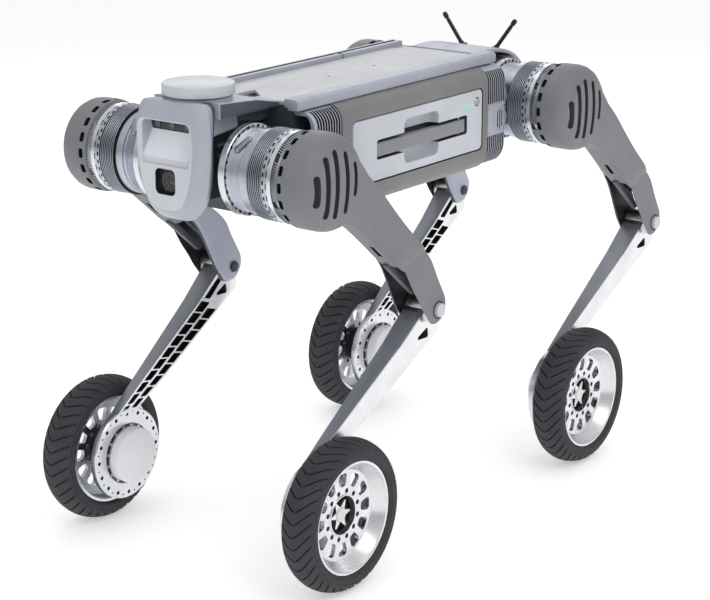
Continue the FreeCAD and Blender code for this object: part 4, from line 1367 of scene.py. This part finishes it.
def make_tail():
    """Curved hood over a black recess that the antennas stand in."""
    form = Form()
    top = curve_through(TAIL_LINE, 6)
    under = []
    for index, spot in enumerate(top):
        ahead = top[min(index + 1, len(top) - 1)] - top[max(index - 1, 0)]
        under.append(spot + Vector((-ahead.y, ahead.x)).normalized() * -6.0)
    under = [Vector((min(p.x, -258.5), p.y)) for p in under]
    if under[0].y > top[0].y:
        under = [2 * a - b for a, b in zip(top, under)]
    form.slab(top + under[::-1], -63.8, 63.8, "shell", "XZ", 2.5)
    slots = Form()
    for side in (1, -1):
        slots.slab(box_outline((-374, -358), sorted((side * 22, side * 60)), 6), 640, 700, "black", "XY")
    form.carve(slots)
    core = Form()
    core.slab(fillet([(-258.6, 561, 2), (-258.6, 672, 2), (-300, 672, 4), (-343, 668, 6),
                      (-374, 657, 6), (-396, 641, 4), (-399, 561, 3)]), -20.5, 20.5, "black", "XZ", 1.0)
    for side in (1, -1):
        core.slab(fillet([(-271.5, 561, 3), (-271.5, 668, 3), (-300, 668, 4), (-343, 664, 6),
                          (-374, 653, 6), (-396, 637, 4), (-399, 561, 3)]),
                  *sorted((side * 20.4, side * 41.8)), "dark", "XZ", 2.0)
        for index in range(5):
            z = 580 + 13 * index
            core.slab(box_outline((-385, -290), (z, z + 4.6), 2.2), *sorted((side * 41.0, side * 42.2)),
                      "black", "XZ", 0.4)
    return form.add(core)


def make_antenna():
    """Ribbed whip with a knob at its tip, drawn upright from its hinge."""
    form = Form()
    form.turn([(0, -6), (6.0, -6), (6.5, -5), (6.5, 5), (6.0, 6), (0, 6)], "dark", axis="X", count=32)
    profile = [(0, 2), (4.2, 2), (4.4, 8), (3.6, 10)]
    for index in range(13):
        z = 12 + index * 3.2
        profile += [(3.0, z), (3.5, z + 0.5), (3.5, z + 1.6), (3.0, z + 2.1)]
    profile += [(2.8, 56), (3.9, 57.5), (4.2, 64), (3.4, 66.6), (1.8, 67.6), (0, 67.8)]
    form.turn(profile, "black", axis="Z", count=24)
    return form


def build_ends():
    emit_body(make_head(), "head_casing", ["head_shell"], "shell")
    emit_body(make_depth_camera(), "depth_bar", ["depth_camera"], "black")
    emit_body(make_lens(), "lens_barrel", ["camera_lens"], "black")
    emit_body(make_window(), "lens_cover", ["camera_window"], "glass")
    emit_body(make_neck(), "neck_cover", ["neck_duct"], "shell")
    emit_body(make_puck(), "lidar_cap", ["lidar_puck"], "shell")
    emit_body(make_tail(), "tail_cover", ["tail_hood"], "shell")
    for side, sign in (("left", -1), ("right", 1)):
        foot = JOINTS["antenna_%s_tilt" % side]
        lean = shift(foot) @ spin(radians(37 * sign), "X")
        emit(make_antenna(), "whip_" + side, "antenna_%s_whip" % side, ["antenna_" + side], "black",
             lean)


build_ends()


# ------------------------------------------------------------------ CAD parts that stay

KEPT_LOOKS = {"chassis_frame": "slate", "belly_pan": "slate", "front_bulkhead": "slate",
              "rear_bulkhead": "slate", "roll_actuators": "dark"}
SLOTS = {row["node"]: row["material_slot"] for row in frame["record"]["subparts"]}
for name, thing in frame["nodes"].items():
    look = KEPT_LOOKS.get(name) or SLOT_LOOK.get(SLOTS[name], SLOTS[name])
    thing.data.materials.clear()
    thing.data.materials.append(MATERIALS[look])


# ------------------------------------------------------------------ floor, light and camera

def make_floor():
    form = Form()
    form.slab(box_outline((-8000, 8000), (-8000, 8000)), -20, -0.5, "floor", "XY")
    data = bpy.data.meshes.new("floor")
    form.tidy()
    form.mesh.to_mesh(data)
    data.transform(TO_METRES)
    data.materials.append(MATERIALS["floor"])
    floor = bpy.data.objects.new("floor", data)
    bpy.context.scene.collection.objects.link(floor)


def area_light(name, place, target, size, power, colour=(1, 1, 1)):
    data = bpy.data.lights.new(name, "AREA")
    data.shape = "RECTANGLE"
    data.size, data.size_y = size
    data.energy = power
    data.color = colour
    light = bpy.data.objects.new(name, data)
    light.location = place
    light.rotation_euler = (Vector(target) - Vector(place)).to_track_quat("-Z", "Y").to_euler()
    bpy.context.scene.collection.objects.link(light)


def studio_sky(sky):
    """Soft surround: bright overhead, a little darker near the horizon for metal to reflect."""
    tree = sky.node_tree
    place = tree.nodes.new("ShaderNodeTexCoord")
    split = tree.nodes.new("ShaderNodeSeparateXYZ")
    ramp = tree.nodes.new("ShaderNodeValToRGB")
    tree.links.new(place.outputs["Generated"], split.inputs["Vector"])
    tree.links.new(split.outputs["Z"], ramp.inputs["Fac"])
    tree.links.new(ramp.outputs["Color"], tree.nodes["Background"].inputs["Color"])
    tree.nodes["Background"].inputs["Strength"].default_value = 0.72
    stops = [(0.0, 0.50), (0.12, 0.56), (0.35, 0.85), (0.70, 1.0)]
    ramp.color_ramp.elements[0].position, first = stops[0]
    ramp.color_ramp.elements[0].color = (first, first, first * 1.04, 1)
    ramp.color_ramp.elements[1].position, last = stops[-1]
    ramp.color_ramp.elements[1].color = (last, last, last, 1)
    for position, level in stops[1:-1]:
        element = ramp.color_ramp.elements.new(position)
        element.color = (level, level, level * 1.02, 1)


def plain_floor():
    """Pale and plain, with a faint glow so that it stays even to the edges of the view."""
    material, tree, shader = new_material("floor", (0.88, 0.88, 0.88), 0.0, 0.85)
    shader.inputs["Emission Color"].default_value = (1, 1, 1, 1)
    shader.inputs["Emission Strength"].default_value = 0.42
    bump(tree, shader, noise(tree, 300, 2), 0.02, 0.0005)
    return material


MATERIALS["floor"] = plain_floor()
make_floor()

world = bpy.data.worlds.new("studio")
world.use_nodes = True
studio_sky(world)
bpy.context.scene.world = world
area_light("key", (1.2, 2.8, 3.4), (0, 0, 0.4), (2.0, 2.0), 30)
area_light("top", (-0.4, -0.4, 3.6), (0, 0, 0.5), (2.6, 2.6), 14)
area_light("rim_light", (-2.6, -2.2, 1.9), (0, 0, 0.4), (2.0, 1.6), 12)
bpy.context.scene.view_settings.view_transform = "Standard"

camera_data = bpy.data.cameras.new("camera")
camera_data.lens = 104.87
camera_data.sensor_width = 36
camera = bpy.data.objects.new("camera", camera_data)
camera.location = (2.593, 1.9035, 1.250)
camera.rotation_euler = (radians(73.47), 0, radians(126.95))
bpy.context.scene.collection.objects.link(camera)
bpy.context.scene.camera = camera
